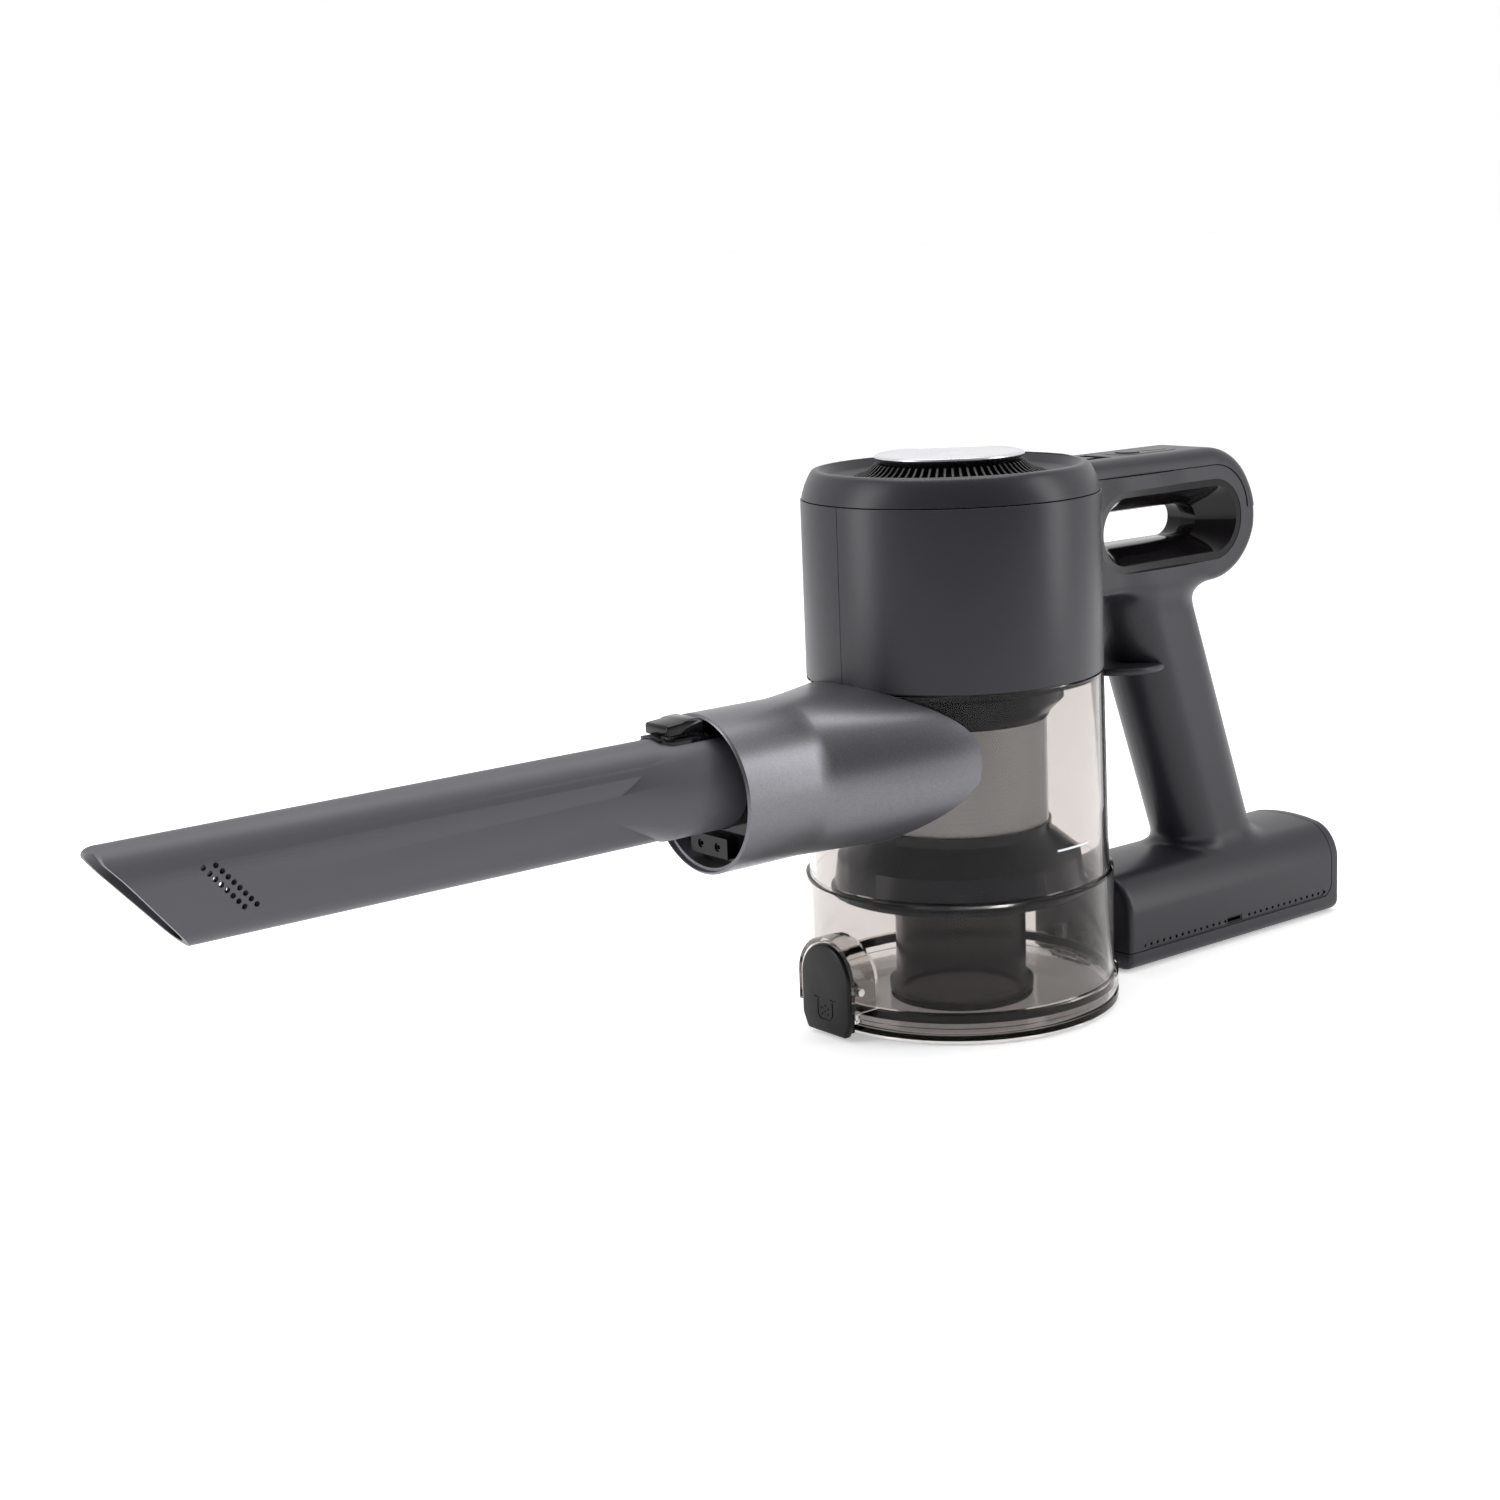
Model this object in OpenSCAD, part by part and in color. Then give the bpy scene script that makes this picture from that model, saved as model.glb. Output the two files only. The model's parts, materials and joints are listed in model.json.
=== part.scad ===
// Handheld cyclone vacuum with a crevice tool, resting on its dust-cup lid and its battery.
// +X points along the tool, +Y to the side, +Z up. The origin is the centre of the lid's underside.

/* [Motor housing] */
// Outer radius of the motor housing
housing_r = 59; // [56:0.5:62]
// Height of the housing's lower edge
housing_z = 135.5; // [130:0.5:150]
// Height of the seam under the top cover
seam_z = 206; // [203:0.5:225]
// Wall of the casings
wall = 2.5; // [2:0.1:3]
// Height of the top cover above its seam
cover_h = 11; // [9:0.5:13]
// Radius of the exhaust opening in the top cover
exhaust_r = 39.5; // [36:0.5:42]
// Number of exhaust fins
fins = 44; // [24:2:60]

/* [Motor] */
// Outer radius of the motor can
motor_r = 27; // [24:0.5:30]
// Radius of the motor shaft
shaft_r = 2.5; // [2:0.1:3]
// Outer radius of the bearings
bearing_r = 6.5; // [5.5:0.1:8]

/* [Dust cup] */
// Outer radius of the cup below its step
cup_r = 62; // [61.5:0.5:64]
// Height of the step round the cup
step_z = 55; // [50:1:60]
// Wall of the dust cup
cup_wall = 2.2; // [1.8:0.1:2.6]
// Height of the lid
lid_h = 11.5; // [11:0.1:13]
// Radius of the mesh screen
mesh_r = 36.5; // [34:0.5:38]
// Radius of the dust tube
tube_r = 26.4; // [22:0.2:28]

/* [Inlet] */
// Height of the inlet duct's axis
duct_z = 106.8; // [105:0.2:108]
// Outer radius of the inlet duct
duct_r = 30.3; // [28:0.1:33]
// Distance of the mouth from the housing's axis
mouth_x = 130.3; // [120:0.5:145]
// Half width of the duct where it meets the cup
flare_y = 51; // [46:0.5:52]

/* [Crevice tool] */
// Outer radius of the tool's collar
collar_r = 19.2; // [17:0.1:20]
// Height of the tool's axis above the duct's axis
tool_rise = 5.1; // [4:0.1:6]
// Distance of the tool's tip from the housing's axis
tip_x = 366; // [300:1:420]
// Wall of the tool
tool_wall = 2.2; // [1.6:0.1:2.6]
// Half thickness of the flat part of the tool
tool_half_w = 11.5; // [10:0.5:13]

/* [Handle] */
// Width of the handle's arm
arm_w = 38; // [34:0.5:42]
// Outer radius of the loop at the end of the arm
loop_r = 28; // [26:0.5:30]
// Distance of the loop's centre behind the housing's axis
loop_x = 134; // [128:0.5:150]
// Radius of the ends of the hole through the arm
hole_r = 17; // [15:0.5:18]
// Half width of the grip
grip_r = 17; // [15:0.5:18]
// Extra depth of the grip from front to back
grip_flat = 11.2; // [8:0.2:14]
// Thickness of the finger guard
guard_h = 3; // [2.5:0.1:4]

/* [Battery] */
// Half width of the battery housing
bat_half_w = 28; // [27:0.5:32]
// Height of the battery housing
bat_h = 41; // [40.5:0.5:48]
// Length of the battery from front to back
bat_len = 136.9; // [136.9:0.1:165]
// Height of the seam above the battery pack's tray
tray_h = 7.8; // [7:0.1:8.5]
// Radius of one battery cell
cell_r = 9.1; // [8:0.1:9.1]
// Length of one battery cell
cell_l = 64.6; // [60:0.1:64.6]

/* [Fits] */
// Gap between pieces that move past each other
gap = 0.3; // [0.3:0.05:0.5]
// Gap between pieces that are fixed together
seat = 0.05; // [0.05:0.05:0.15]
// Radial running clearance of a shaft or pin
run = 0.05; // [0.03:0.01:0.08]

/* [Hidden] */

$fn = 96;
e = 1;                                    // how far a cut runs past the face it opens
top_z = seam_z + cover_h;                 // rim of the top cover
cover_edge = 6.5;                         // rounding of the cover's outer edge
arm_top = seam_z + 7;                     // top of the arm
cover_band = 7;                           // width of the cover's band round the arm's edge
loop_z = arm_top - loop_r;                // centre of the loop
arm_low = loop_z - loop_r;                // underside of the arm
hole_x = loop_x - 53;                     // front centre of the hole through the arm
hole_z = loop_z - 2;                      // centre line of that hole
hole_back = loop_x;                       // rear centre of that hole
notch_z = loop_z + 1;                     // where the cover ends at the back of the loop
liner_t = 3;                              // wall of the loop's liner
grip_top_x = 105.5;                       // the grip's axis under the arm
grip_low_x = 148.5;                       // the grip's axis over the battery
grip_low_z = bat_h - 5;
lean = atan((grip_low_x - grip_top_x) / (arm_low - grip_low_z));
light_z = 90;                             // height of the light on the grip's back
guard_z = arm_low - 34;                   // underside of the finger guard
guard_nose = 73;
guard_r = grip_r + 3.5;
guard_tail = 104;
button_z = notch_z - 3.2;                 // centre of the power button

floor_t = 3;                              // floor of the motor housing
can_z = housing_z + 14;                   // underside of the motor can
can_h = 42;
can_wall = 2;
bridge_z = can_z + 16;                    // bridge that holds the lower bearing
plate_t = 3;
air_hole_r = 26;
filter_top = seam_z - 2;
filter_h = 9;
grille_z = top_z - 7;                     // underside of the exhaust grille
disc_z = grille_z + 8.5;                  // underside of the vent disc
disc_r = 29.6;
disc_h = 3.5;

cup_top = housing_z - gap;
cup_low = lid_h + gap;
cup_top_r = housing_r;
step_top_r = cup_r - 1.6;                 // cup's radius just above the step
mark_z = 71.5;                            // height of the fill line
lid_r = cup_r + 1.5;
lid_floor = 2.6;
ledge_r = cup_r - cup_wall - 0.2;         // inside of the lid's rim
hinge_x = lid_r + 3.3;
hinge_z = 3.5;
pin_r = 1.5;
knuckle_r = 3;
knuckle_half = 6;
lug_y = knuckle_half + gap;
lug_w = 4.7;
mesh_low = step_z + 20;
mesh_top = housing_z - 18.3;
screen_t = 0.8;
skirt_z = step_z - 7.5;                   // underside of the cyclone skirt
skirt_r = 52;
flange_z = 5.3;                           // underside of the dust tube's flange
flange_r = tube_r + 2.9;

latch_x = cup_r + 10;                     // front edge of the latch shroud
latch_half = 14.5;
latch_arc_z = 23;
latch_front = latch_x + 1;
lever_t = 3.5;
pivot_x = latch_x - 3.8;
pivot_z = 20;
shroud_t = 1.8;
spring_wire = 0.35;                       // radius of the latch spring's wire
spring_r = pin_r + 0.8 + spring_wire;     // outer radius of the latch spring
spring_half = 4.6;                        // half length of the latch spring
catch_x = lid_r + 3.3;                    // front of the lid's catch lug

flare_x = mouth_x - 38.3;                 // where the flare begins
duct_wall = 2.3;
flare_step = 0.4;                         // how far the flare stands proud of the sleeve
liner_front = mouth_x - 8.3;
liner_back = mouth_x - 32.3;
tool_z = duct_z + tool_rise;
tool_back = mouth_x - 30.3;               // end of the collar inside the mouth
collar_front = mouth_x + 19.7;
flat_x = mouth_x + 47.7;                  // where the flat part begins
low_r = 7.5;                              // rounding of the flat part's lower edge
cone_end_r = tool_half_w - 2.1;           // where the cone has sunk into the flat part
tip_run = 30;                             // length of the slanted cut at the tip
key_half = 10;
button_x0 = mouth_x + 1;
button_x1 = mouth_x + 17.7;
button_half = 7;

bat_front = hinge_x + knuckle_r + gap;
bat_back = bat_front + bat_len;
bat_r = 12;                               // rounding of the battery's shoulders
tray_r = 5;                               // rounding of the tray's lower edges
cap_t = 5;                                // thickness of the battery's end cap
cap_x = bat_back - cap_t;
tray_front = bat_front + 2.5;
cell_front = tray_front + 1.8;
cell_gap = 0.6;
cell_y = cell_r + 0.2;
cell_z = wall + 1 + cell_r;
cell_top_z = cell_z + sqrt(pow(2 * cell_y, 2) - pow(cell_y, 2));
vent_z = tray_h + 2.1;
vent_r = 0.7;
vent_pitch = 3.9;
slot_x = 136;
slot_l = 9.8;
slot_h = 2.8;
screw_x = [82, 190];
screw_y = bat_half_w - 6.5;

panel_x = 109;                            // centre of the control panel
panel_half = 18;
panel_r = 8;
key_x = 101;                              // centre of the mode button
key_r = 5;
display_x = 117;
catch_slot = [65.5, 84];                  // recess of the filter catch
catch_len = 10;

// ---- helpers ----

// outer radius of the cup's upper part at a height
function cup_out(z) = cup_top_r + (step_top_r - cup_top_r) * (cup_top - z) / (cup_top - step_z - 0.6);

// a flat outline drawn in X and Z, made w thick across Y
module across(w) rotate([90, 0, 0]) linear_extrude(height = w, center = true) children();

// a flat outline drawn in Y and Z, drawn out along X from x0 to x1
module along(x0, x1) translate([x0, 0, 0]) rotate([90, 0, 90]) linear_extrude(height = x1 - x0) children();

module rod_x(x0, x1, r, z, y = 0) translate([x0, y, z]) rotate([0, 90, 0]) cylinder(h = x1 - x0, r = r);

module rod_y(y0, y1, r, x, z) translate([x, y1, z]) rotate([90, 0, 0]) cylinder(h = y1 - y0, r = r);

module ring(z0, z1, r_out, r_in) translate([0, 0, z0]) difference() {
    cylinder(h = z1 - z0, r = r_out);
    translate([0, 0, -e]) cylinder(h = z1 - z0 + 2 * e, r = r_in);
}

module box(x, y, z) translate([x[0], y[0], z[0]]) cube([x[1] - x[0], y[1] - y[0], z[1] - z[0]]);

module stadium(x0, x1, z, r) {
    translate([x0, z]) circle(r = r);
    translate([x1, z]) circle(r = r);
    translate([min(x0, x1), z - r]) square([abs(x1 - x0), 2 * r]);
}

// a helix of round wire as a closed mesh: turns, coil radius, wire radius and height
function helix_ring(t, turns, coil_r, wire_r, height, sides) = let (a = 360 * turns * t)
    [for (j = [0 : sides - 1]) let (b = 360 * j / sides, r = coil_r + wire_r * cos(b))
        [r * cos(a), r * sin(a), height * t + wire_r * sin(b)]];

module helix(turns, coil_r, wire_r, height) {
    sides = 6;
    rings = turns * 12;
    points = [for (i = [0 : rings]) each helix_ring(i / rings, turns, coil_r, wire_r, height, sides)];
    faces = concat(
        [[for (j = [0 : sides - 1]) j]],
        [for (i = [0 : rings - 1]) for (j = [0 : sides - 1])
            [i * sides + j, (i + 1) * sides + j, (i + 1) * sides + (j + 1) % sides, i * sides + (j + 1) % sides]],
        [[for (j = [sides - 1 : -1 : 0]) rings * sides + j]]);
    polyhedron(points = points, faces = faces, convexity = 6);
}

// ---- motor housing and top cover ----

module motor_housing() color([0.28, 0.27, 0.29]) difference() {
    translate([0, 0, housing_z]) cylinder(h = seam_z - seat - housing_z, r = housing_r);
    translate([0, 0, housing_z + floor_t]) cylinder(h = seam_z, r = housing_r - wall);
    translate([0, 0, housing_z - e]) cylinder(h = floor_t + 2 * e, r = air_hole_r);
    box([-housing_r - e, -housing_r + 2 * wall], [-5, 5], [hole_z + hole_r - 12, hole_z + hole_r - 4]);
}

module cap_outline() polygon(concat(
    [[housing_r - wall, seam_z], [housing_r, seam_z]],
    [for (a = [0 : 15 : 90]) [housing_r - cover_edge + cover_edge * cos(a), top_z - cover_edge + cover_edge * sin(a)]],
    [[housing_r - 9, top_z], [housing_r - 10.5, top_z - 1.4], [exhaust_r, grille_z + 3.2],
     [exhaust_r, grille_z - gap], [exhaust_r - 2, grille_z - gap], [exhaust_r - 2, grille_z - 2.3],
     [housing_r - 11, grille_z - 2.3], [housing_r - wall, top_z - cover_edge - 1.5]]));

module arm_outline(inset) {
    translate([-loop_x, loop_z]) circle(r = loop_r - inset);
    translate([-loop_x, arm_low + inset]) square([loop_x - housing_r + 12, 2 * (loop_r - inset)]);
}

// side panel inside the band of the top cover
module panel_outline() {
    translate([-loop_x, loop_z]) circle(r = loop_r - cover_band);
    translate([-loop_x, arm_low]) square([loop_x, 2 * loop_r - cover_band]);
    translate([-loop_x - loop_r - e, arm_low - e]) square([loop_x, notch_z - arm_low + e]);
}

module top_cover() color([0.27, 0.26, 0.28]) difference() {
    union() {
        rotate_extrude() cap_outline();
        difference() {
            across(arm_w) difference() {
                arm_outline(0);
                panel_outline();
            }
            translate([0, 0, seam_z - 80]) cylinder(h = 200, r = housing_r - 4);
        }
    }
    box([-loop_x, -housing_r - 4], [-arm_w / 2 + wall, arm_w / 2 - wall], [seam_z - e, arm_top - wall - 1.2]);
    box([-catch_slot[1], -catch_slot[0]], [-7.5, 7.5], [arm_top - 2.4, arm_top + e]);
    translate([-panel_x, 0, arm_top - 1.2]) linear_extrude(height = 3)
        stadium(-panel_half + panel_r, panel_half - panel_r, 0, panel_r + seat);
    translate([-key_x, 0, seam_z]) cylinder(h = cover_h, r = key_r + gap);
}

module exhaust_grille() color([0.13, 0.13, 0.14]) {
    ring(grille_z, grille_z + 2.6, exhaust_r - gap, disc_r - 4);
    rotate_extrude() polygon([[disc_r - 6, grille_z], [disc_r + 2, grille_z], [disc_r + 2, grille_z + 2.8],
        [disc_r - 3, disc_z - 1.2], [disc_r - 3, disc_z], [disc_r - 6, disc_z]]);
    for (i = [0 : fins - 1]) rotate([0, 0, 360 * i / fins])
        across(1.3) polygon([[disc_r - 5, grille_z + 1], [exhaust_r - 1.2, grille_z + 1],
            [exhaust_r - 1.2, grille_z + 3.2], [disc_r + 4, grille_z + 5.2], [disc_r, disc_z], [disc_r - 5, disc_z]]);
}

module vent_disc() color([0.62, 0.62, 0.64]) rotate_extrude() polygon(concat(
    [[0, disc_z + seat], [disc_r - 1, disc_z + seat]],
    [for (a = [0 : 30 : 90]) [disc_r - 1.6 + 1.6 * cos(a), disc_z + disc_h - 1.6 + 1.6 * sin(a)]],
    [[disc_r - 4, disc_z + disc_h], [0, disc_z + disc_h]]));

module exhaust_filter() color([0.85, 0.85, 0.82])
    ring(filter_top - filter_h, filter_top, housing_r - wall - 4, 18);

// ---- motor ----

module can_vents(z) for (i = [0 : 5]) rotate([0, 0, 60 * i])
    translate([motor_r - 9, 0, z - e]) cylinder(h = plate_t + 2 * e, r = 4);

module motor_can() color([0.6, 0.6, 0.62]) difference() {
    translate([0, 0, can_z]) cylinder(h = can_h, r = motor_r);
    translate([0, 0, can_z + plate_t]) cylinder(h = bridge_z - can_z - plate_t, r = motor_r - can_wall);
    translate([0, 0, bridge_z + plate_t])
        cylinder(h = can_h - 2 * plate_t - bridge_z + can_z, r = motor_r - can_wall);
    translate([0, 0, can_z - e]) cylinder(h = plate_t + 2 * e, r = motor_r - 13);
    translate([0, 0, bridge_z - e]) cylinder(h = can_h, r = bearing_r + seat);
    can_vents(bridge_z);
    can_vents(can_z + can_h - plate_t);
}

module motor_stator() color([0.45, 0.30, 0.18]) difference() {
    ring(bridge_z + plate_t + 1, can_z + can_h - plate_t - 1, motor_r - can_wall - seat, motor_r / 2 + 0.6);
    for (i = [0 : 5]) rotate([0, 0, 60 * i])
        box([motor_r / 2 + 3, motor_r - 6], [-1.5, 1.5], [bridge_z, can_z + can_h]);
}

module rotor_magnet() color([0.5, 0.5, 0.52])
    ring(bridge_z + plate_t + 1, can_z + can_h - plate_t - 1, motor_r / 2 - 0.2, shaft_r + seat);

module motor_shaft() color([0.8, 0.8, 0.82]) translate([0, 0, can_z + plate_t]) cylinder(h = can_h, r = shaft_r);

module impeller() color([0.55, 0.56, 0.58]) {
    ring(can_z + plate_t + 1, bridge_z - 1.5, 6, shaft_r + seat);
    ring(bridge_z - 3, bridge_z - 1.5, motor_r - 4, 5);
    for (i = [0 : 8]) rotate([0, 0, 40 * i])
        box([5, motor_r - 4.6], [-0.6, 0.6], [can_z + plate_t + 3.5, bridge_z - 2]);
}

module bearing(z) ring(z, z + plate_t, bearing_r, shaft_r + run);

module upper_bearing() color([0.75, 0.75, 0.77]) bearing(can_z + can_h - plate_t);

module lower_bearing() color([0.75, 0.75, 0.77]) bearing(bridge_z);

module motor_mount() color([0.1, 0.1, 0.1]) ring(can_z + 6, can_z + 12, motor_r + 3, motor_r + seat);

module motor_frame() color([0.2, 0.2, 0.21]) difference() {
    ring(can_z + 7, can_z + 11, housing_r - wall - seat, motor_r + 3 + seat);
    for (i = [0 : 11]) rotate([0, 0, 30 * i])
        translate([(motor_r + housing_r) / 2, 0, can_z]) cylinder(h = 20, r = 6);
}

module circuit_board() color([0.05, 0.3, 0.15])
    box([-housing_r + 11, -housing_r + 12.6], [-18, 18], [can_z + 13, filter_top - filter_h - 2]);

// ---- handle ----

module hole_outline(r) stadium(-hole_back, -hole_x, hole_z, r);

module button_pocket() box([-loop_x - loop_r - e, -loop_x - loop_r + 4.2],
    [-6.4, 6.4], [button_z - 2.9, button_z + 2.9]);

module boss_spots() for (p = [[-72, arm_low + 7], [-150, arm_low + 14], [-125, arm_low + 5]])
    translate([p[0], 0, p[1]]) children();

// one half of the arm's casing; side is 1 for the left half and -1 for the right
module arm_half(side) difference() {
    intersection() {
        difference() {
            across(arm_w) difference() {
                intersection() {
                    arm_outline(0);
                    panel_outline();
                }
                hole_outline(hole_r + seat);
            }
            across(arm_w - 2 * wall) difference() {
                translate([-loop_x, loop_z - loop_r + wall])
                    square([loop_x - housing_r, 2 * loop_r - cover_band - 2 * wall]);
                hole_outline(hole_r + 2);
            }
        }
        box([-250, 0], side > 0 ? [0, 60] : [-60, 0], [0, seam_z - seat]);
    }
    translate([0, 0, arm_low - e]) cylinder(h = 90, r = housing_r + seat);
    button_pocket();
    if (side < 0) boss_spots() {
        rod_y(-arm_w, -arm_w / 2 + 2, 2.6, 0, 0);
        rod_y(-arm_w, -4, 1.3, 0, 0);
    }
}

module handle_left() color([0.28, 0.27, 0.29]) arm_half(1);

module handle_right() color([0.28, 0.27, 0.29]) arm_half(-1);

module handle_screws() color([0.3, 0.3, 0.32]) boss_spots() {
    rod_y(-arm_w / 2 + 0.6, -arm_w / 2 + 2 - seat, 2.4, 0, 0);
    rod_y(-arm_w / 2 + 1, -arm_w / 2 + 2.4, 1.2, 0, 0);
}

module loop_liner() color([0.03, 0.03, 0.035]) {
    across(arm_w) difference() {
        hole_outline(hole_r);
        hole_outline(hole_r - liner_t);
    }
}

module grip_solid(r) translate([-grip_low_x, 0, grip_low_z]) rotate([0, lean, 0]) translate([0, 0, -30])
    linear_extrude(height = 220) stadium(-grip_flat / 2, grip_flat / 2, 0, r);

module grip_half(side) difference() {
    intersection() {
        grip_solid(grip_r);
        box([-260, 0], side > 0 ? [0, 40] : [-40, 0], [bat_h + seat, arm_low - seat]);
    }
    grip_solid(grip_r - wall);
    rotate_light() cylinder(h = 10, r = 2.6 + seat);
}

// places its child on the back of the grip, pointing out of it
module rotate_light() translate([-grip_low_x + (light_z - grip_low_z) * tan(lean) - (grip_r + grip_flat / 2 - wall - e)
    / cos(lean), 0, light_z]) rotate([0, lean - 90, 0]) children();

module grip_left() color([0.27, 0.26, 0.28]) grip_half(1);

module grip_right() color([0.27, 0.26, 0.28]) grip_half(-1);

module grip_light() color([0.95, 0.95, 0.95]) rotate_light() translate([0, 0, 1.2]) cylinder(h = 2.7, r = 2.6);

module finger_guard() color([0.27, 0.26, 0.28]) difference() {
    translate([0, 0, guard_z]) linear_extrude(height = guard_h) intersection() {
        translate([-guard_nose - guard_r, 0]) circle(r = guard_r);
        translate([-guard_tail, -guard_r]) square([guard_tail, 2 * guard_r]);
    }
    grip_solid(grip_r + seat);
}

module filter_catch() color([0.1, 0.1, 0.11]) {
    box([-catch_slot[0] - catch_len, -catch_slot[0] - gap], [-6, 6], [arm_top - 2.4 + gap, arm_top + 0.4]);
    box([-catch_slot[0] - 3, -catch_slot[0] - 1], [-5, 5], [arm_top, arm_top + 1.4]);
}

module control_panel() color([0.03, 0.03, 0.035]) difference() {
    translate([-panel_x, 0, arm_top - 1.2 + seat]) linear_extrude(height = 1.3)
        stadium(-panel_half + panel_r, panel_half - panel_r, 0, panel_r);
    translate([-key_x, 0, seam_z]) cylinder(h = cover_h, r = key_r + gap);
    translate([-display_x, 0, arm_top - 0.7]) linear_extrude(height = 3) stadium(-3, 3, 0, 3 + seat);
}

module charge_display() color([0.85, 0.88, 0.9])
    translate([-display_x, 0, arm_top - 0.7 + seat]) linear_extrude(height = 0.9) stadium(-3, 3, 0, 3);

module mode_button() color([0.16, 0.16, 0.17])
    translate([-key_x, 0, arm_top - 3.4]) cylinder(h = 4, r = key_r);

module mode_spring() color([0.7, 0.7, 0.72])
    translate([-key_x, 0, seam_z + 0.6]) helix(4, 2.6, 0.3, arm_top - 3.4 - seam_z - 1);

module power_button() color([0.75, 0.76, 0.78]) translate([-loop_x - loop_r, 0, button_z])
    along(-0.7, 3) stadium(-3.4, 3.4, 0, 2.5);

// ---- battery ----

// the battery's cross-section, from z0 up, with rounded shoulders; inset shrinks it
module battery_outline(z0, inset) {
    half = bat_half_w - inset;
    r = bat_r - inset;
    for (s = [-1, 1]) translate([s * (half - r), bat_h - inset - r]) circle(r = r);
    translate([-half + r, z0]) square([2 * (half - r), bat_h - inset - z0]);
    translate([-half, z0]) square([2 * half, bat_h - inset - r - z0]);
}

// the tray's cross-section, with rounded lower edges
module tray_outline(inset, z1) {
    half = bat_half_w - inset;
    r = tray_r - min(inset, tray_r - 1);
    intersection() {
        for (s = [-1, 1]) translate([s * (half - r), inset + r]) circle(r = r);
        translate([-half, inset]) square([2 * half, z1 - inset]);
    }
    translate([-half + r, inset]) square([2 * (half - r), z1 - inset]);
    translate([-half, inset + r]) square([2 * half, z1 - inset - r]);
}

module battery_housing() color([0.27, 0.26, 0.28]) difference() {
    along(-cap_x + gap, -bat_front) battery_outline(tray_h, 0);
    along(-cap_x - e, -bat_front - wall) battery_outline(tray_h - e, wall);
    for (i = [-14 : 15]) if (abs(i - 0.5) > 1)
        rod_y(-bat_half_w - e, bat_half_w + e, vent_r, -slot_x - (i - 0.5) * vent_pitch, vent_z);
    box([-slot_x - slot_l / 2, -slot_x + slot_l / 2], [bat_half_w - wall - e, bat_half_w + e],
        [vent_z - slot_h / 2, vent_z + slot_h / 2]);
}

module charging_socket() color([0.05, 0.05, 0.055]) difference() {
    box([-slot_x - slot_l / 2 + seat, -slot_x + slot_l / 2 - seat], [bat_half_w - 8, bat_half_w - 0.6],
        [vent_z - slot_h / 2 + seat, vent_z + slot_h / 2 - seat]);
    box([-slot_x - slot_l / 2 + 0.8, -slot_x + slot_l / 2 - 0.8], [bat_half_w - 6, bat_half_w + e],
        [vent_z - slot_h / 2 + 0.7, vent_z + slot_h / 2 - 0.7]);
}

module battery_terminals() color([0.8, 0.65, 0.3]) for (y = [-12, -4, 4, 12])
    box([-bat_front - wall - 1.2, -bat_front - wall], [y - 2, y + 2], [16, 30]);

module battery_tray() color([0.25, 0.24, 0.26]) difference() {
    union() {
        along(-cap_x, -tray_front) tray_outline(0, tray_h - gap);
        along(-bat_back, -cap_x) intersection() {
            battery_outline(-e, 0);
            tray_outline(0, 100);
        }
    }
    difference() {
        along(-cap_x - e, -tray_front - wall + 1) tray_outline(wall, tray_h);
        for (x = screw_x) for (s = [-1, 1]) translate([-x, s * screw_y, 0]) cylinder(h = 30, r = 2.6);
    }
    along(-bat_back + wall, -cap_x + e) battery_outline(wall, wall);
    for (x = screw_x) for (s = [-1, 1]) translate([-x, s * screw_y, 0]) {
        translate([0, 0, -e]) cylinder(h = 2.2 + e, r = 2.5 - seat);
        cylinder(h = 6, r = 1.3);
    }
    box([-bat_back - e, -bat_back + 4], [-10.4, 10.4], [bat_h / 2 - 4.4, bat_h / 2 + 4.4]);
}

module tray_screws() color([0.5, 0.5, 0.52]) for (x = screw_x) for (s = [-1, 1])
    translate([-x, s * screw_y, 0]) {
        translate([0, 0, 0.6]) cylinder(h = 1.5, r = 2.2);
        translate([0, 0, 2]) cylinder(h = 3.8, r = 1.2);
    }

module battery_cells() color([0.2, 0.45, 0.65]) for (i = [0, 1]) {
    x1 = -cell_front - i * (cell_l + cell_gap);
    for (s = [-1, 1]) rod_x(x1 - cell_l, x1, cell_r, cell_z, s * cell_y);
    rod_x(x1 - cell_l, x1, cell_r, cell_top_z);
}

module battery_board() color([0.05, 0.3, 0.15]) box([-bat_back + 17, -bat_front - 14.9], [13, 14.6], [cell_z + cell_r + 0.6, bat_h - wall - 2]);

module battery_release() color([0.1, 0.1, 0.11])
    along(-bat_back - 0.5, -bat_back + 1.2) translate([0, bat_h / 2]) square([20, 8], center = true);

// ---- dust cup and cyclone ----

module cup_outline() polygon([[cup_top_r, cup_top], [step_top_r, step_z + 0.6], [cup_r, step_z],
    [cup_r, cup_low], [cup_r - cup_wall, cup_low], [cup_r - cup_wall, step_z - 2],
    [step_top_r - cup_wall, step_z - 1.4], [cup_top_r - cup_wall, cup_top]]);

// inside of the cup as a solid, to trim what is added on its outside
module cup_space() rotate_extrude() polygon([[0, cup_low - e], [cup_r - cup_wall, cup_low - e],
    [cup_r - cup_wall, step_z - 2], [step_top_r - cup_wall, step_z - 1.4], [cup_top_r - cup_wall, cup_top], [0, cup_top]]);

module arch(half, z0) {
    intersection() {
        translate([0, latch_arc_z]) circle(r = half);
        translate([-half, z0]) square([2 * half, latch_arc_z + half - z0]);
    }
    translate([-half, z0]) square([2 * half, latch_arc_z - z0]);
}

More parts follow.
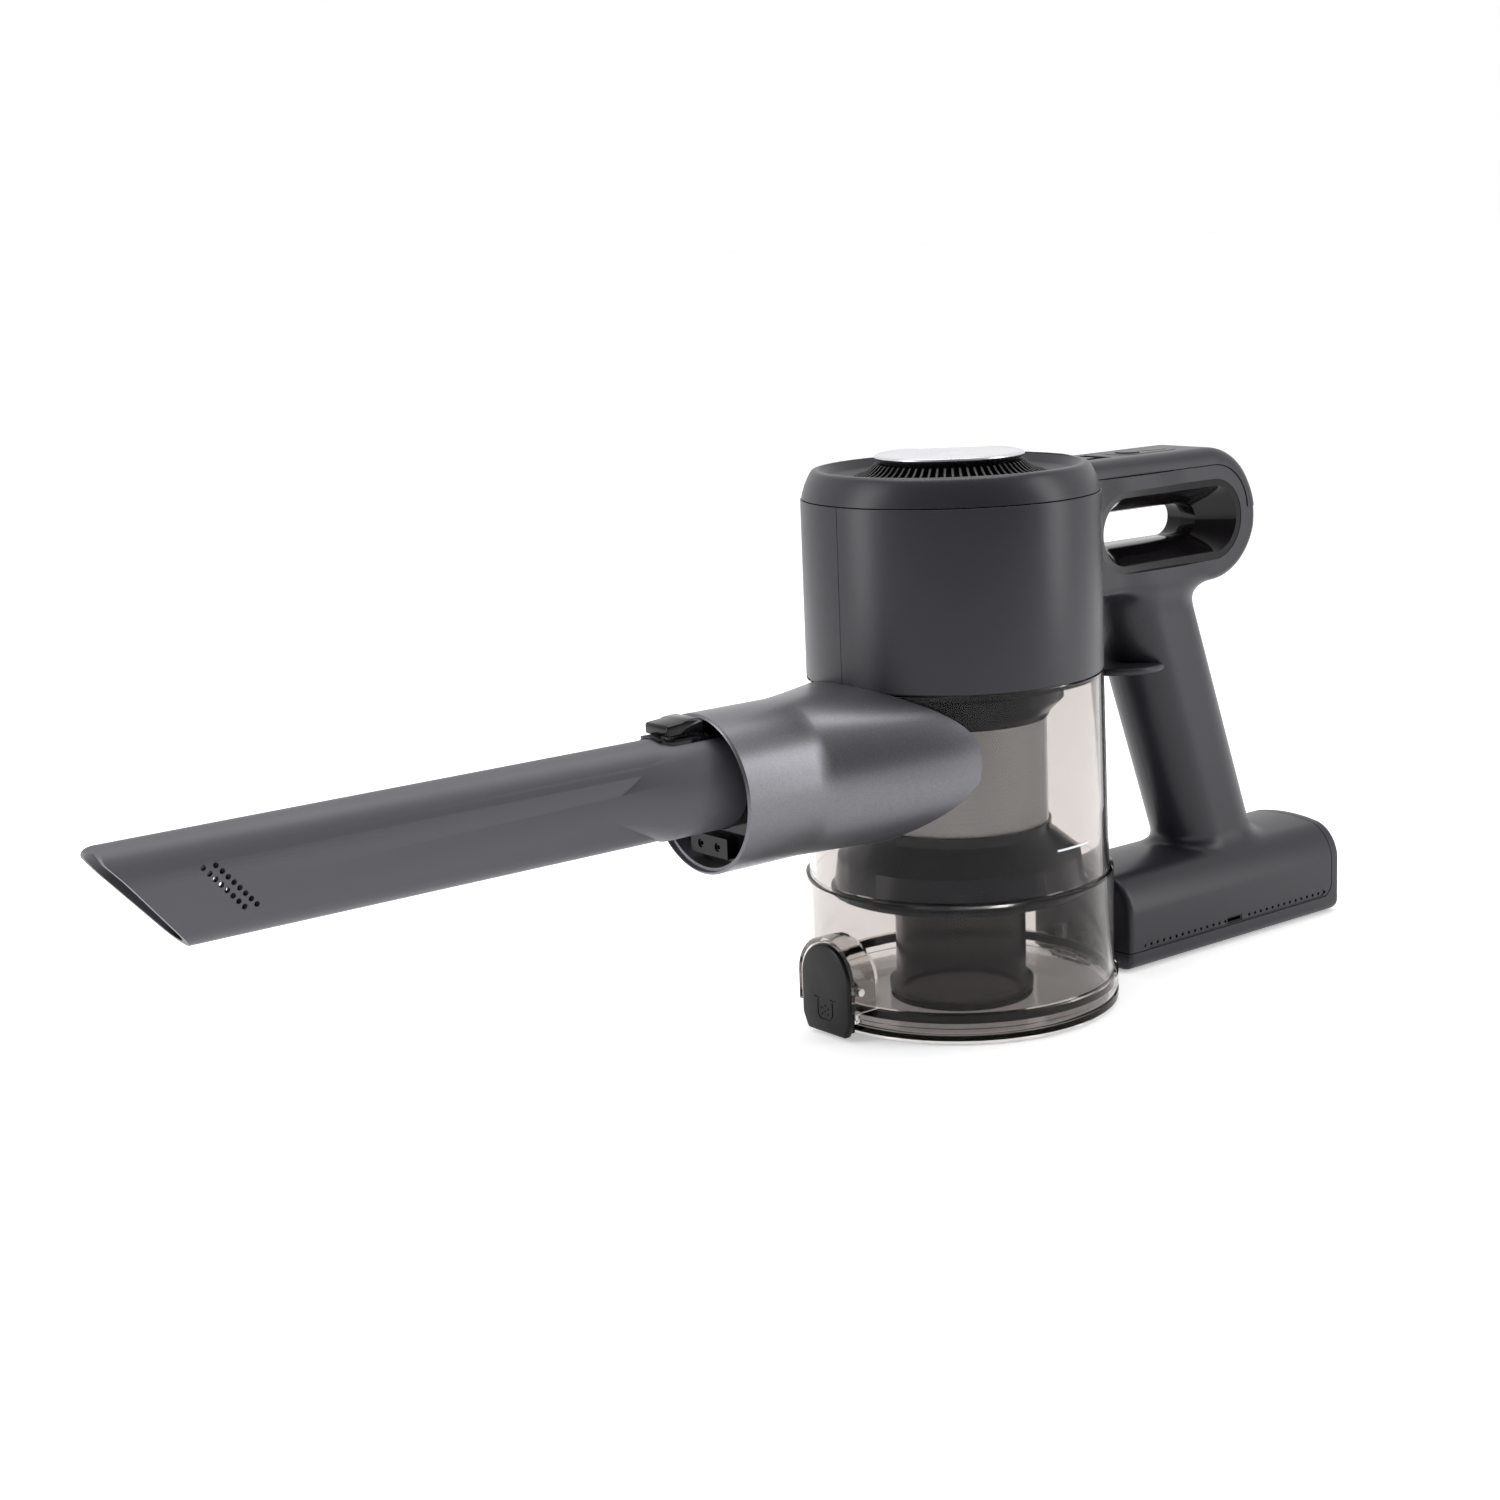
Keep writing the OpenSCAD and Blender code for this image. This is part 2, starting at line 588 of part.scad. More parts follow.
module dust_cup() color([0.45, 0.43, 0.45, 0.45]) difference() {
    union() {
        rotate_extrude() cup_outline();
        difference() {
            along(cup_r - 8, latch_x) difference() {
                arch(latch_half + gap + shroud_t, cup_low);
                arch(latch_half + gap, cup_low - e);
            }
            cup_space();
        }
        for (s = [-1, 1]) difference() {
            union() {
                box([-bat_front + gap, -cup_r + 3.4], s > 0 ? [lug_y, lug_y + lug_w] : [-lug_y - lug_w, -lug_y],
                    [hinge_z, cup_low + 3]);
                rod_y(s > 0 ? lug_y : -lug_y - lug_w, s > 0 ? lug_y + lug_w : -lug_y, knuckle_r, -hinge_x, hinge_z);
            }
            translate([0, 0, -e]) cylinder(h = cup_low + e, r = lid_r + gap);
            cup_space();
            rod_y(-20, 20, pin_r + run, -hinge_x, hinge_z);
        }
    }
    rod_x(20, 80, duct_r - duct_wall - 1, duct_z);
    rod_y(-latch_half - 4, latch_half + 4, pin_r + run, pivot_x, pivot_z);
}

module fill_mark() color([0.95, 0.95, 0.95]) rotate([0, 0, 86]) rotate_extrude(angle = 17)
    polygon([[cup_out(mark_z) + seat, mark_z], [cup_out(mark_z) + 0.35, mark_z],
        [cup_out(mark_z) + 0.35, mark_z + 0.8], [cup_out(mark_z) + seat, mark_z + 0.8]]);

module cup_seal() color([0.08, 0.08, 0.08])
    ring(cup_top - 2, cup_top, cup_top_r - cup_wall - seat, cup_top_r - cup_wall - 3);

module cyclone_collar() color([0.06, 0.06, 0.07]) rotate_extrude() polygon([
    [mesh_r + 14, cup_top], [mesh_r + 11, cup_top - 4], [mesh_r + 6.7, cup_top - 6], [mesh_r + 6.7, cup_top - 10.5],
    [mesh_r + 1.6, cup_top - 15.5], [mesh_r + 0.5, mesh_top], [mesh_r - 3, mesh_top], [mesh_r - 3, cup_top - 14.5],
    [mesh_r + 4, cup_top - 9], [mesh_r + 4, cup_top - 4.2], [mesh_r + 8.5, cup_top - 2.5], [mesh_r + 10, cup_top]]);

module pre_filter() color([0.9, 0.9, 0.88]) ring(housing_z - 36, housing_z - 0.6, mesh_r - 3.5, 14);

module mesh_screen() color([0.75, 0.75, 0.77])
    ring(mesh_low + seat, mesh_top - seat, mesh_r, mesh_r - screen_t);

module cyclone_skirt() color([0.05, 0.05, 0.07]) rotate_extrude() polygon([
    [mesh_r + 1, mesh_low], [mesh_r + 1, mesh_low - 4], [skirt_r - 3, step_z + 6.5], [skirt_r - 1.5, step_z - 5],
    [skirt_r, step_z - 6], [skirt_r, skirt_z], [skirt_r - 4, skirt_z], [skirt_r - 4, step_z + 5],
    [mesh_r - 1.2, mesh_low - 5], [mesh_r - 1.2, mesh_low]]);

module dust_tube() color([0.33, 0.31, 0.33, 0.7]) rotate_extrude() polygon([
    [tube_r - 2.2, flange_z], [flange_r, flange_z], [flange_r, flange_z + 3], [tube_r, flange_z + 3.6],
    [tube_r, skirt_z], [skirt_r - 4 - seat, skirt_z], [skirt_r - 4 - seat, skirt_z + 2], [tube_r - 2.2, skirt_z + 2]]);

module lid() color([0.40, 0.38, 0.40, 0.55]) difference() {
    union() {
        rotate_extrude() polygon([[0, 0], [lid_r - 1.5, 0], [lid_r, 1.5], [lid_r, 4.2], [lid_r - 0.7, 4.8],
            [lid_r - 0.7, 6], [lid_r, 6.6], [lid_r, lid_h], [cup_r - 0.1, lid_h], [cup_r - 0.1, 8],
            [ledge_r, 8], [ledge_r, lid_floor], [0, lid_floor]]);
        box([lid_r - 1.2, catch_x], [-9, 9], [5, 9.5]);
        difference() {
            union() {
                rod_y(-knuckle_half, knuckle_half, knuckle_r, -hinge_x, hinge_z);
                box([-hinge_x, -lid_r + 1], [-knuckle_half, knuckle_half], [hinge_z - knuckle_r, hinge_z + knuckle_r]);
            }
            translate([0, 0, -e]) cylinder(h = lid_h, r = lid_r - 0.8);
        }
    }
    rod_y(-knuckle_half - e, knuckle_half + e, pin_r + run, -hinge_x, hinge_z);
}

module lid_seal() color([0.08, 0.08, 0.08]) ring(8 + seat, lid_h, cup_r - 0.1 - seat, ledge_r + 0.1);

module tube_gasket() color([0.08, 0.08, 0.08]) ring(lid_floor + seat, flange_z - gap, flange_r - 0.4, tube_r - 2);

module lid_pin() color([0.8, 0.8, 0.82]) rod_y(-lug_y - lug_w, lug_y + lug_w, pin_r, -hinge_x, hinge_z);

// ---- lid latch ----

module latch_lever() color([0.06, 0.06, 0.065]) difference() {
    union() {
        along(latch_front - lever_t, latch_front) intersection() {
            arch(latch_half - gap, 0.6);
            polygon([[-11, 0], [11, 0], [latch_half + e, 6.5], [latch_half + e, 60],
                [-latch_half - e, 60], [-latch_half - e, 6.5]]);
        }
        for (s = [-1, 1]) rod_y(s * 8.5 - 2, s * 8.5 + 2, 3.2, pivot_x, pivot_z);
        for (s = [-1, 1]) box([pivot_x, latch_front - lever_t + e], [s * 8.5 - 2, s * 8.5 + 2],
            [pivot_z - 3, pivot_z + 3]);
        box([catch_x + gap, latch_front - lever_t + e], [-8, 8], [1.2, 4.6]);
    }
    rod_y(-20, 20, pin_r + run, pivot_x, pivot_z);
    rod_y(-spring_half - gap, spring_half + gap, spring_r + 2 * gap, pivot_x, pivot_z);
}

module latch_pin() color([0.8, 0.8, 0.82])
    rod_y(-latch_half - gap - shroud_t, latch_half + gap + shroud_t, pin_r, pivot_x, pivot_z);

module latch_spring() color([0.7, 0.7, 0.72])
    translate([pivot_x, spring_half, pivot_z]) rotate([90, 0, 0])
        helix(5, spring_r - spring_wire, spring_wire, 2 * spring_half);

// ---- inlet duct ----

module ellipse_plate(x, half_y, half_z) translate([x, 0, duct_z]) rotate([0, 90, 0])
    scale([half_z, half_y, 1]) cylinder(h = 1, r = 1, $fn = 64);

module flare(inset) hull() {
    ellipse_plate(flare_x, duct_r + flare_step - inset, duct_r + flare_step - inset);
    ellipse_plate(housing_r - 16, flare_y - inset, duct_r + 1 - inset);
}

module inlet_duct() color([0.42, 0.42, 0.45]) difference() {
    union() {
        rod_x(flare_x - 10, mouth_x, duct_r, duct_z);
        flare(0);
    }
    rod_x(flare_x - 10, mouth_x + e, duct_r - duct_wall, duct_z);
    flare(duct_wall);
    rotate_extrude() polygon([[0, 40], [step_top_r + seat, 40], [step_top_r + seat, step_z],
        [cup_top_r + seat, cup_top], [cup_top_r + seat, 170], [0, 170]]);
}

module mouth_liner() color([0.03, 0.03, 0.035]) difference() {
    rod_x(liner_back, liner_front, duct_r - duct_wall - seat, duct_z);
    rod_x(liner_back - e, liner_front + e, collar_r + gap, tool_z);
    box([liner_back - e, liner_front + e], [-key_half - gap, key_half + gap], [tool_z, tool_z + duct_r]);
    contact_space(seat);
}

module contact_space(c) box([liner_front - 12 - c, mouth_x - 4 + c], [-11 - c, 11 + c],
    [duct_z - duct_r + duct_wall + 4.2 - c, tool_z - collar_r - 2 + c]);

module socket_spots() for (y = [-5, 5]) translate([0, y, duct_z - duct_r + duct_wall + 8]) children();

module contact_block() color([0.07, 0.07, 0.08]) difference() {
    contact_space(0);
    socket_spots() rod_x(liner_front - 10, mouth_x, 1.7, 0);
}

module contact_sockets() color([0.75, 0.65, 0.35]) socket_spots() difference() {
    rod_x(liner_front - 10 + seat, mouth_x - 4.6, 1.7 - seat, 0);
    rod_x(liner_front, mouth_x, 0.9, 0);
}

// ---- crevice tool ----

// the flat part's cross-section: a large round above, a small round below, joined by straight sides
module tool_section(inset) {
    r1 = tool_half_w - inset;
    r2 = low_r - inset;
    z1 = tool_z + collar_r - 0.2 - tool_half_w;
    z2 = tool_z - collar_r + 0.2 + low_r;
    s = (r1 - r2) / (z1 - z2);
    c = sqrt(1 - s * s);
    translate([0, z1]) circle(r = r1);
    translate([0, z2]) circle(r = r2);
    polygon([[r1 * c, z1 - r1 * s], [-r1 * c, z1 - r1 * s], [-r2 * c, z2 - r2 * s], [r2 * c, z2 - r2 * s]]);
}

// collar and cone, turned about the tool's axis
module tool_round(inset, back) translate([0, 0, tool_z]) rotate([0, 90, 0]) rotate_extrude() polygon([[0, back],
    [collar_r - inset, back], [collar_r - inset, collar_front], [cone_end_r - inset, flat_x], [0, flat_x]]);

module tool_tip_cut() across(60) polygon([[tip_x - 2, tool_z + collar_r - 1], [tip_x, tool_z + collar_r - 4],
    [tip_x - tip_run, tool_z - collar_r - e], [tip_x + 20, tool_z - collar_r - e], [tip_x + 20, tool_z + 40],
    [tip_x - 2, tool_z + 40]]);

module crevice_tool() color([0.33, 0.33, 0.35]) difference() {
    union() {
        tool_round(0, tool_back);
        along(collar_front - 6, tip_x + e) tool_section(0);
    }
    tool_round(tool_wall, tool_back - e);
    along(flat_x - gap, tip_x + 3) tool_section(tool_wall);
    tool_tip_cut();
    for (row = [0, 1]) for (i = [0 : 7])
        rod_y(-tool_half_w - e, tool_half_w + e, 1, tip_x - 31.5 - row * 4.4 - i * 2.08, tool_z + 8.2 - i * 2.3);
    box([button_x0 - gap, button_x1 + gap], [-button_half - gap, button_half + gap],
        [tool_z + collar_r - 1.3, tool_z + collar_r + 5]);
}

module button_base() color([0.05, 0.05, 0.055]) difference() {
    intersection() {
        rod_x(mouth_x - 10, button_x1 + 3, collar_r + 1.5, tool_z);
        box([0, 200], [-key_half + 1, key_half - 1], [tool_z, tool_z + 40]);
    }
    rod_x(0, 200, collar_r + seat, tool_z);
    box([button_x0 - gap, button_x1 + gap], [-button_half - gap, button_half + gap], [tool_z, tool_z + 40]);
}

module tool_button() color([0.03, 0.03, 0.035]) across(2 * button_half) polygon([
    [button_x0, tool_z + collar_r + 0.6], [button_x1, tool_z + collar_r + 0.6], [button_x1, tool_z + collar_r + 4.6],
    [button_x0 + 9, tool_z + collar_r + 6], [button_x0 + 3, tool_z + collar_r + 6], [button_x0, tool_z + collar_r + 4.4]]);

motor_housing();
top_cover();
exhaust_grille();
vent_disc();
exhaust_filter();
motor_can();
motor_stator();
rotor_magnet();
motor_shaft();
impeller();
upper_bearing();
lower_bearing();
motor_frame();
motor_mount();
circuit_board();
handle_left();
handle_right();
loop_liner();
grip_left();
grip_right();
finger_guard();
handle_screws();
filter_catch();
control_panel();
mode_button();
mode_spring();
charge_display();
power_button();
grip_light();
battery_housing();
charging_socket();
battery_terminals();
battery_tray();
battery_cells();
battery_board();
battery_release();
tray_screws();
dust_cup();
fill_mark();
cup_seal();
cyclone_collar();
pre_filter();
mesh_screen();
cyclone_skirt();
dust_tube();
lid();
lid_seal();
tube_gasket();
lid_pin();
latch_lever();
latch_pin();
latch_spring();
inlet_duct();
mouth_liner();
contact_block();
contact_sockets();
crevice_tool();
button_base();
tool_button();
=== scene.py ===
"""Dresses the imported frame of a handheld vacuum: casings, cup, nozzle, finishes and a small studio."""

import json
import math

import bmesh
import bpy
import numpy as np
from bpy.props import FloatProperty, FloatVectorProperty, IntProperty, PointerProperty
from mathutils import Matrix, Vector


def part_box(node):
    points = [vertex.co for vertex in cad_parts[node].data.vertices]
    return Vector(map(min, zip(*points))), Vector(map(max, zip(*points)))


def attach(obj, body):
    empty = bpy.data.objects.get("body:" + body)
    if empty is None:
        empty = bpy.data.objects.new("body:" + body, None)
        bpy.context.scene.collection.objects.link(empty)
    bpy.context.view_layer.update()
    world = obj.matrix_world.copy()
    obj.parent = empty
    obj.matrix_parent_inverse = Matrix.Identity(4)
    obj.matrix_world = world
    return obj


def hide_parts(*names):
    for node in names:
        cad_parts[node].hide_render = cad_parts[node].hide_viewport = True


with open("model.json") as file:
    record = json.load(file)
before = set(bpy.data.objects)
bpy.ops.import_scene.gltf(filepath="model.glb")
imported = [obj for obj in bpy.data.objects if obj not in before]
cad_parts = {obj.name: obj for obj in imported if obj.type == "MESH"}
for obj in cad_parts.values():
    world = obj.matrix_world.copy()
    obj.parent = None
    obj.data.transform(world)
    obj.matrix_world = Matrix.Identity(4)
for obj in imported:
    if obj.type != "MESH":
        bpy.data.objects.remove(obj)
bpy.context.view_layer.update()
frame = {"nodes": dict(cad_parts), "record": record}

bl_info = {
    "name": "Handheld Vacuum",
    "version": (1, 0, 0),
    "blender": (4, 5, 0),
    "location": "View3D > Sidebar > Vacuum",
    "description": "Builds the casings, dust cup, nozzle and finishes of a handheld vacuum",
    "category": "Object",
}

MM = 0.001
SEGMENTS = 128    # round a large turned piece
SHARP = math.radians(32)    # edges steeper than this stay crisp
HAIR = 0.2    # visible gap of a seam, mm


# ---- places, in mm, from the frame

def span(node):
    """Lowest and highest corner of a node, in millimetres."""
    low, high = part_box(node)
    return [c / MM for c in low], [c / MM for c in high]


HOUSING_LOW, HOUSING_HIGH = span("motor_housing")
COVER_LOW, COVER_HIGH = span("top_cover")
ARM_LOW, ARM_HIGH = span("handle_left")
LINER_LOW, LINER_HIGH = span("loop_liner")
GRIP_LOW, GRIP_HIGH = span("grip_left")
BATTERY_LOW, BATTERY_HIGH = span("battery_housing")
TRAY_LOW = span("battery_tray")[0]
TOOL_LOW, TOOL_HIGH = span("crevice_tool")
LEVER_LOW, LEVER_HIGH = span("latch_lever")
SCREEN_LOW, SCREEN_HIGH = span("mesh_screen")
DISC_LOW, DISC_HIGH = span("vent_disc")
GRILLE_LOW, GRILLE_HIGH = span("exhaust_grille")
GUARD_LOW, GUARD_HIGH = span("finger_guard")
BUTTON_LOW, BUTTON_HIGH = span("tool_button")
PANEL_LOW, PANEL_HIGH = span("control_panel")

HOUSING_R = HOUSING_HIGH[0]
SEAM_Z = HOUSING_HIGH[2]    # seam between housing and top cover
ARM_HALF = ARM_HIGH[1]
LOOP_R = 28.0
LOOP_X = COVER_LOW[0] + LOOP_R    # centre of the loop at the arm's end
LOOP_Z = ARM_LOW[2] + LOOP_R
COVER_BAND = LOOP_Z + LOOP_R - SEAM_Z    # width of the cover's band round the loop
NOTCH_Z = LOOP_Z + 1.0
HOLE_R = (LINER_HIGH[2] - LINER_LOW[2]) / 2
HOLE_Z = (LINER_HIGH[2] + LINER_LOW[2]) / 2
HOLE_BACK = LINER_LOW[0] + HOLE_R
HOLE_FRONT = LINER_HIGH[0] - HOLE_R
GRIP_R = GRIP_HIGH[1]
LEAN = math.atan2(43.0, 121.0)    # the grip's lean from the vertical
GRIP_FOOT_X = -148.5    # the grip's axis at GRIP_FOOT_Z
GRIP_FOOT_Z = BATTERY_HIGH[2] - 5.0
GRIP_FLAT = 11.2
DUCT_Z = 106.8
DUCT_R = 30.3
MOUTH_X = span("inlet_duct")[1][0]
SLEEVE_BACK = MOUTH_X - 38.3    # where the duct's sleeve turns into its flare
DUCT_WALL = 2.3
TOOL_Z = 111.9
TOOL_WALL = 2.2
COLLAR_R = TOOL_HIGH[1]
COLLAR_FRONT = MOUTH_X + 19.7    # end of the tool's collar, where its cone begins
FLAT_X = MOUTH_X + 47.7    # end of the cone
CONE_END_R = 9.4
FLAT_TOP_R, FLAT_FOOT_R = 11.5, 7.5    # rounding of the flat part, above and below
TIP_X = TOOL_HIGH[0]
KEY_X = -101.0    # the mode button's axis
VENT_MIDDLE = -136.0    # middle of the battery's row of vents
PIN_X, PIN_Z = 68.2, 20.0    # the latch's pin


# ---- properties

def colour_of(label, value, note):
    return FloatVectorProperty(name=label, description=note, subtype="COLOR", size=3, min=0, max=1, default=value)


def length_of(label, value, note):
    return FloatProperty(name=label, description=note, subtype="DISTANCE", unit="LENGTH", min=0, default=value * MM)


class VacuumFinishes(bpy.types.PropertyGroup):
    """Colours of the main finishes."""
    casing: colour_of("Casing", (0.021, 0.020, 0.026), "Satin dark plastic of the housing, handle and battery")
    pewter: colour_of("Inlet duct", (0.150, 0.150, 0.163), "Metallic lacquer of the inlet duct")
    tool: colour_of("Crevice tool", (0.070, 0.068, 0.080), "Fine matte plastic of the crevice tool")
    smoke: colour_of("Dust cup", (0.66, 0.635, 0.62), "Tint of the clear dust cup")
    silver: colour_of("Vent disc", (0.66, 0.65, 0.68), "Pale metal of the vent disc")


class VacuumSizes(bpy.types.PropertyGroup):
    """Sizes of the details that the frame leaves plain."""
    edge: length_of("Edge rounding", 6.5, "Rounding of the cover's and the arm's long edges")
    neck: length_of("Neck fillet", 11.0, "Fillet between the arm and the grip")
    foot: length_of("Foot fillet", 7.0, "Fillet between the grip and the battery")
    cell: length_of("Surface cell", 1.3, "Facet size of the blended casings")
    fins: IntProperty(name="Fins", description="Fins round the exhaust grille", min=20, max=120, default=66)
    strands: IntProperty(name="Strands", description="Wires each way in the screen", min=40, max=260, default=190)


def sizes():
    return bpy.context.scene.vacuum_sizes


def finishes():
    return bpy.context.scene.vacuum_finishes


# ---- finishes

def new_material(name):
    """A material, its shader and its Object coordinates."""
    m = bpy.data.materials.new(name)
    m.use_nodes = True
    nodes = m.node_tree.nodes
    place = nodes.new("ShaderNodeTexCoord").outputs["Object"]
    return m, m.node_tree, nodes["Principled BSDF"], place


def noise(tree, place, scale, detail=2.0, rough=0.5):
    """A noise value at a place; scale counts its cells in a metre."""
    n = tree.nodes.new("ShaderNodeTexNoise")
    n.inputs["Scale"].default_value = scale
    n.inputs["Detail"].default_value = detail
    n.inputs["Roughness"].default_value = rough
    tree.links.new(place, n.inputs["Vector"])
    return n.outputs["Fac"]


def remap(tree, value, low, high):
    """Spreads the middle of a noise over low to high."""
    n = tree.nodes.new("ShaderNodeMapRange")
    n.inputs["From Min"].default_value = 0.3
    n.inputs["From Max"].default_value = 0.7
    n.inputs["To Min"].default_value = low
    n.inputs["To Max"].default_value = high
    tree.links.new(value, n.inputs["Value"])
    return n.outputs["Result"]


def tint(tree, shader, value, dark, light):
    """Colours the shader between two tones by a noise."""
    n = tree.nodes.new("ShaderNodeMix")
    n.data_type = "RGBA"
    n.inputs["A"].default_value = (*dark, 1)
    n.inputs["B"].default_value = (*light, 1)
    tree.links.new(value, n.inputs["Factor"])
    tree.links.new(n.outputs["Result"], shader.inputs["Base Color"])


def bump(tree, shader, height, strength, distance):
    """Lets a height value, over a distance in metres, tilt the shader's surface."""
    n = tree.nodes.new("ShaderNodeBump")
    n.inputs["Strength"].default_value = strength
    n.inputs["Distance"].default_value = distance
    tree.links.new(height, n.inputs["Height"])
    tree.links.new(n.outputs["Normal"], shader.inputs["Normal"])


def plastic(name, colour, rough, grain=0.12, coat=0.0, spread=0.12, pitch=2600, shine=0.3):
    """Moulded plastic: fine grain, a little tone and gloss variation, faint smears of handling."""
    m, tree, shader, place = new_material(name)
    shader.inputs["Specular IOR Level"].default_value = shine
    shader.inputs["Coat Weight"].default_value = coat
    shader.inputs["Coat Roughness"].default_value = 0.05
    cloud = noise(tree, place, 28.0, 3.0)
    tint(tree, shader, cloud, [c * (1 - spread) for c in colour], [c * (1 + spread) for c in colour])
    smear = noise(tree, place, 9.0, 5.0, 0.62)
    tree.links.new(remap(tree, smear, rough - 0.04, rough + 0.05), shader.inputs["Roughness"])
    bump(tree, shader, noise(tree, place, pitch, 2.0), grain, 0.00005)
    return m


def flake(name, colour, rough):
    """Metallic lacquer: bright flakes in a dark ground under a satin coat."""
    m, tree, shader, place = new_material(name)
    shader.inputs["Metallic"].default_value = 0.72
    sparkle = tree.nodes.new("ShaderNodeTexVoronoi")
    sparkle.inputs["Scale"].default_value = 3600
    tree.links.new(place, sparkle.inputs["Vector"])
    fleck = tree.nodes.new("ShaderNodeSeparateColor")
    tree.links.new(sparkle.outputs["Color"], fleck.inputs["Color"])
    tint(tree, shader, fleck.outputs["Red"], [c * 0.88 for c in colour], [c * 1.14 for c in colour])
    tree.links.new(remap(tree, noise(tree, place, 14.0, 4.0), rough - 0.03, rough + 0.03), shader.inputs["Roughness"])
    bump(tree, shader, noise(tree, place, 2600, 2.0), 0.07, 0.00004)
    return m


def clear(name, colour, rough=0.03):
    """Tinted clear plastic with faint flow marks."""
    m, tree, shader, place = new_material(name)
    shader.inputs["Transmission Weight"].default_value = 1.0
    shader.inputs["IOR"].default_value = 1.2
    shader.inputs["Specular IOR Level"].default_value = 0.3
    tint(tree, shader, noise(tree, place, 12.0, 3.0), [c * 0.97 for c in colour], [min(c * 1.02, 1) for c in colour])
    tree.links.new(remap(tree, noise(tree, place, 22.0, 5.0), rough, rough + 0.035), shader.inputs["Roughness"])
    bump(tree, shader, noise(tree, place, 40.0, 1.0), 0.02, 0.0004)
    return m


def metal(name, colour, rough, stretch=(1.0, 1.0, 40.0), amount=1.0):
    """Metal with fine brush marks."""
    m, tree, shader, place = new_material(name)
    shader.inputs["Metallic"].default_value = amount
    turn = tree.nodes.new("ShaderNodeMapping")
    turn.inputs["Scale"].default_value = stretch
    tree.links.new(place, turn.inputs["Vector"])
    marks = noise(tree, turn.outputs["Vector"], 60.0, 4.0)
    tint(tree, shader, marks, [c * 0.85 for c in colour], [min(c * 1.12, 1) for c in colour])
    tree.links.new(remap(tree, marks, rough - 0.05, rough + 0.06), shader.inputs["Roughness"])
    bump(tree, shader, marks, 0.05, 0.0001)
    return m


def windings(name, colour):
    """Copper wire wound side by side."""
    m, tree, shader, place = new_material(name)
    shader.inputs["Metallic"].default_value = 0.9
    shader.inputs["Roughness"].default_value = 0.32
    wave = tree.nodes.new("ShaderNodeTexWave")
    wave.bands_direction = "Z"
    wave.inputs["Scale"].default_value = 260
    wave.inputs["Distortion"].default_value = 0.6
    tree.links.new(place, wave.inputs["Vector"])
    tint(tree, shader, wave.outputs["Fac"], [c * 0.5 for c in colour], colour)
    bump(tree, shader, wave.outputs["Fac"], 0.5, 0.0002)
    return m


def pleated(name, colour):
    """Pale filter fleece, folded round the axis."""
    m, tree, shader, place = new_material(name)
    shader.inputs["Roughness"].default_value = 0.9
    fibre = noise(tree, place, 700.0, 6.0, 0.7)
    tint(tree, shader, fibre, [c * 0.8 for c in colour], colour)
    bump(tree, shader, fibre, 0.5, 0.0003)
    return m


def lens(name):
    """Milky light pipe."""
    m, tree, shader, place = new_material(name)
    shader.inputs["Roughness"].default_value = 0.18
    shader.inputs["Subsurface Weight"].default_value = 0.2
    shader.inputs["Coat Weight"].default_value = 0.5
    tint(tree, shader, noise(tree, place, 300.0), (0.80, 0.81, 0.82), (0.9, 0.9, 0.91))
    return m


def circuit(name):
    """Green board with darker tracks."""
    m, tree, shader, place = new_material(name)
    shader.inputs["Roughness"].default_value = 0.35
    brick = tree.nodes.new("ShaderNodeTexBrick")
    brick.inputs["Scale"].default_value = 180
    brick.inputs["Color1"].default_value = (0.01, 0.11, 0.04, 1)
    brick.inputs["Color2"].default_value = (0.015, 0.15, 0.055, 1)
    brick.inputs["Mortar"].default_value = (0.05, 0.24, 0.10, 1)
    tree.links.new(place, brick.inputs["Vector"])
    tree.links.new(brick.outputs["Color"], shader.inputs["Base Color"])
    bump(tree, shader, noise(tree, place, 900.0), 0.1, 0.0001)
    return m


materials = {}


def mix_finishes():
    """Makes every finish that the record's slots name, from the chosen colours."""
    f = finishes()
    made = {
        "casing": plastic("casing", f.casing, 0.36),
        "pewter": flake("pewter", f.pewter, 0.34),
        "tool": plastic("tool", f.tool, 0.46, grain=0.22, spread=0.05, pitch=1500),
        "gloss_black": plastic("gloss_black", (0.006, 0.005, 0.006), 0.10, grain=0.0, shine=0.24),
        "satin_black": plastic("satin_black", (0.0045, 0.0043, 0.0048), 0.30, shine=0.2),
        "cyclone_black": plastic("cyclone_black", (0.005, 0.006, 0.012), 0.2, grain=0.0, shine=0.2),
        "smoke": clear("smoke", f.smoke),
        "smoke_tube": clear("smoke_tube", (0.16, 0.145, 0.15), 0.14),
        "disc_silver": metal("disc_silver", f.silver, 0.30, (1.0, 1.0, 1.0)),
        "steel": metal("steel", (0.80, 0.80, 0.80), 0.36, amount=0.35),
        "motor_metal": metal("motor_metal", (0.42, 0.42, 0.44), 0.35),
        "copper": windings("copper", (0.72, 0.36, 0.16)),
        "contact": metal("contact", (0.83, 0.62, 0.28), 0.22),
        "rubber": plastic("rubber", (0.014, 0.014, 0.014), 0.62, grain=0.3),
        "filter": pleated("filter", (0.82, 0.82, 0.79)),
        "board": circuit("board"),
        "cell": plastic("cell", (0.05, 0.16, 0.34), 0.28, coat=0.4),
        "white_lens": lens("white_lens"),
    }
    materials.update(made)


# ---- making meshes

def finish_mesh(piece, material):
    """One material, faces outward, smooth between sharp edges."""
    mesh = piece.data
    mesh.materials.clear()
    mesh.materials.append(materials[material])
    mesh.polygons.foreach_set("material_index", [0] * len(mesh.polygons))
    mesh.polygons.foreach_set("use_smooth", [True] * len(mesh.polygons))
    mesh.set_sharp_from_angle(angle=SHARP)
    mesh.update()
    return piece


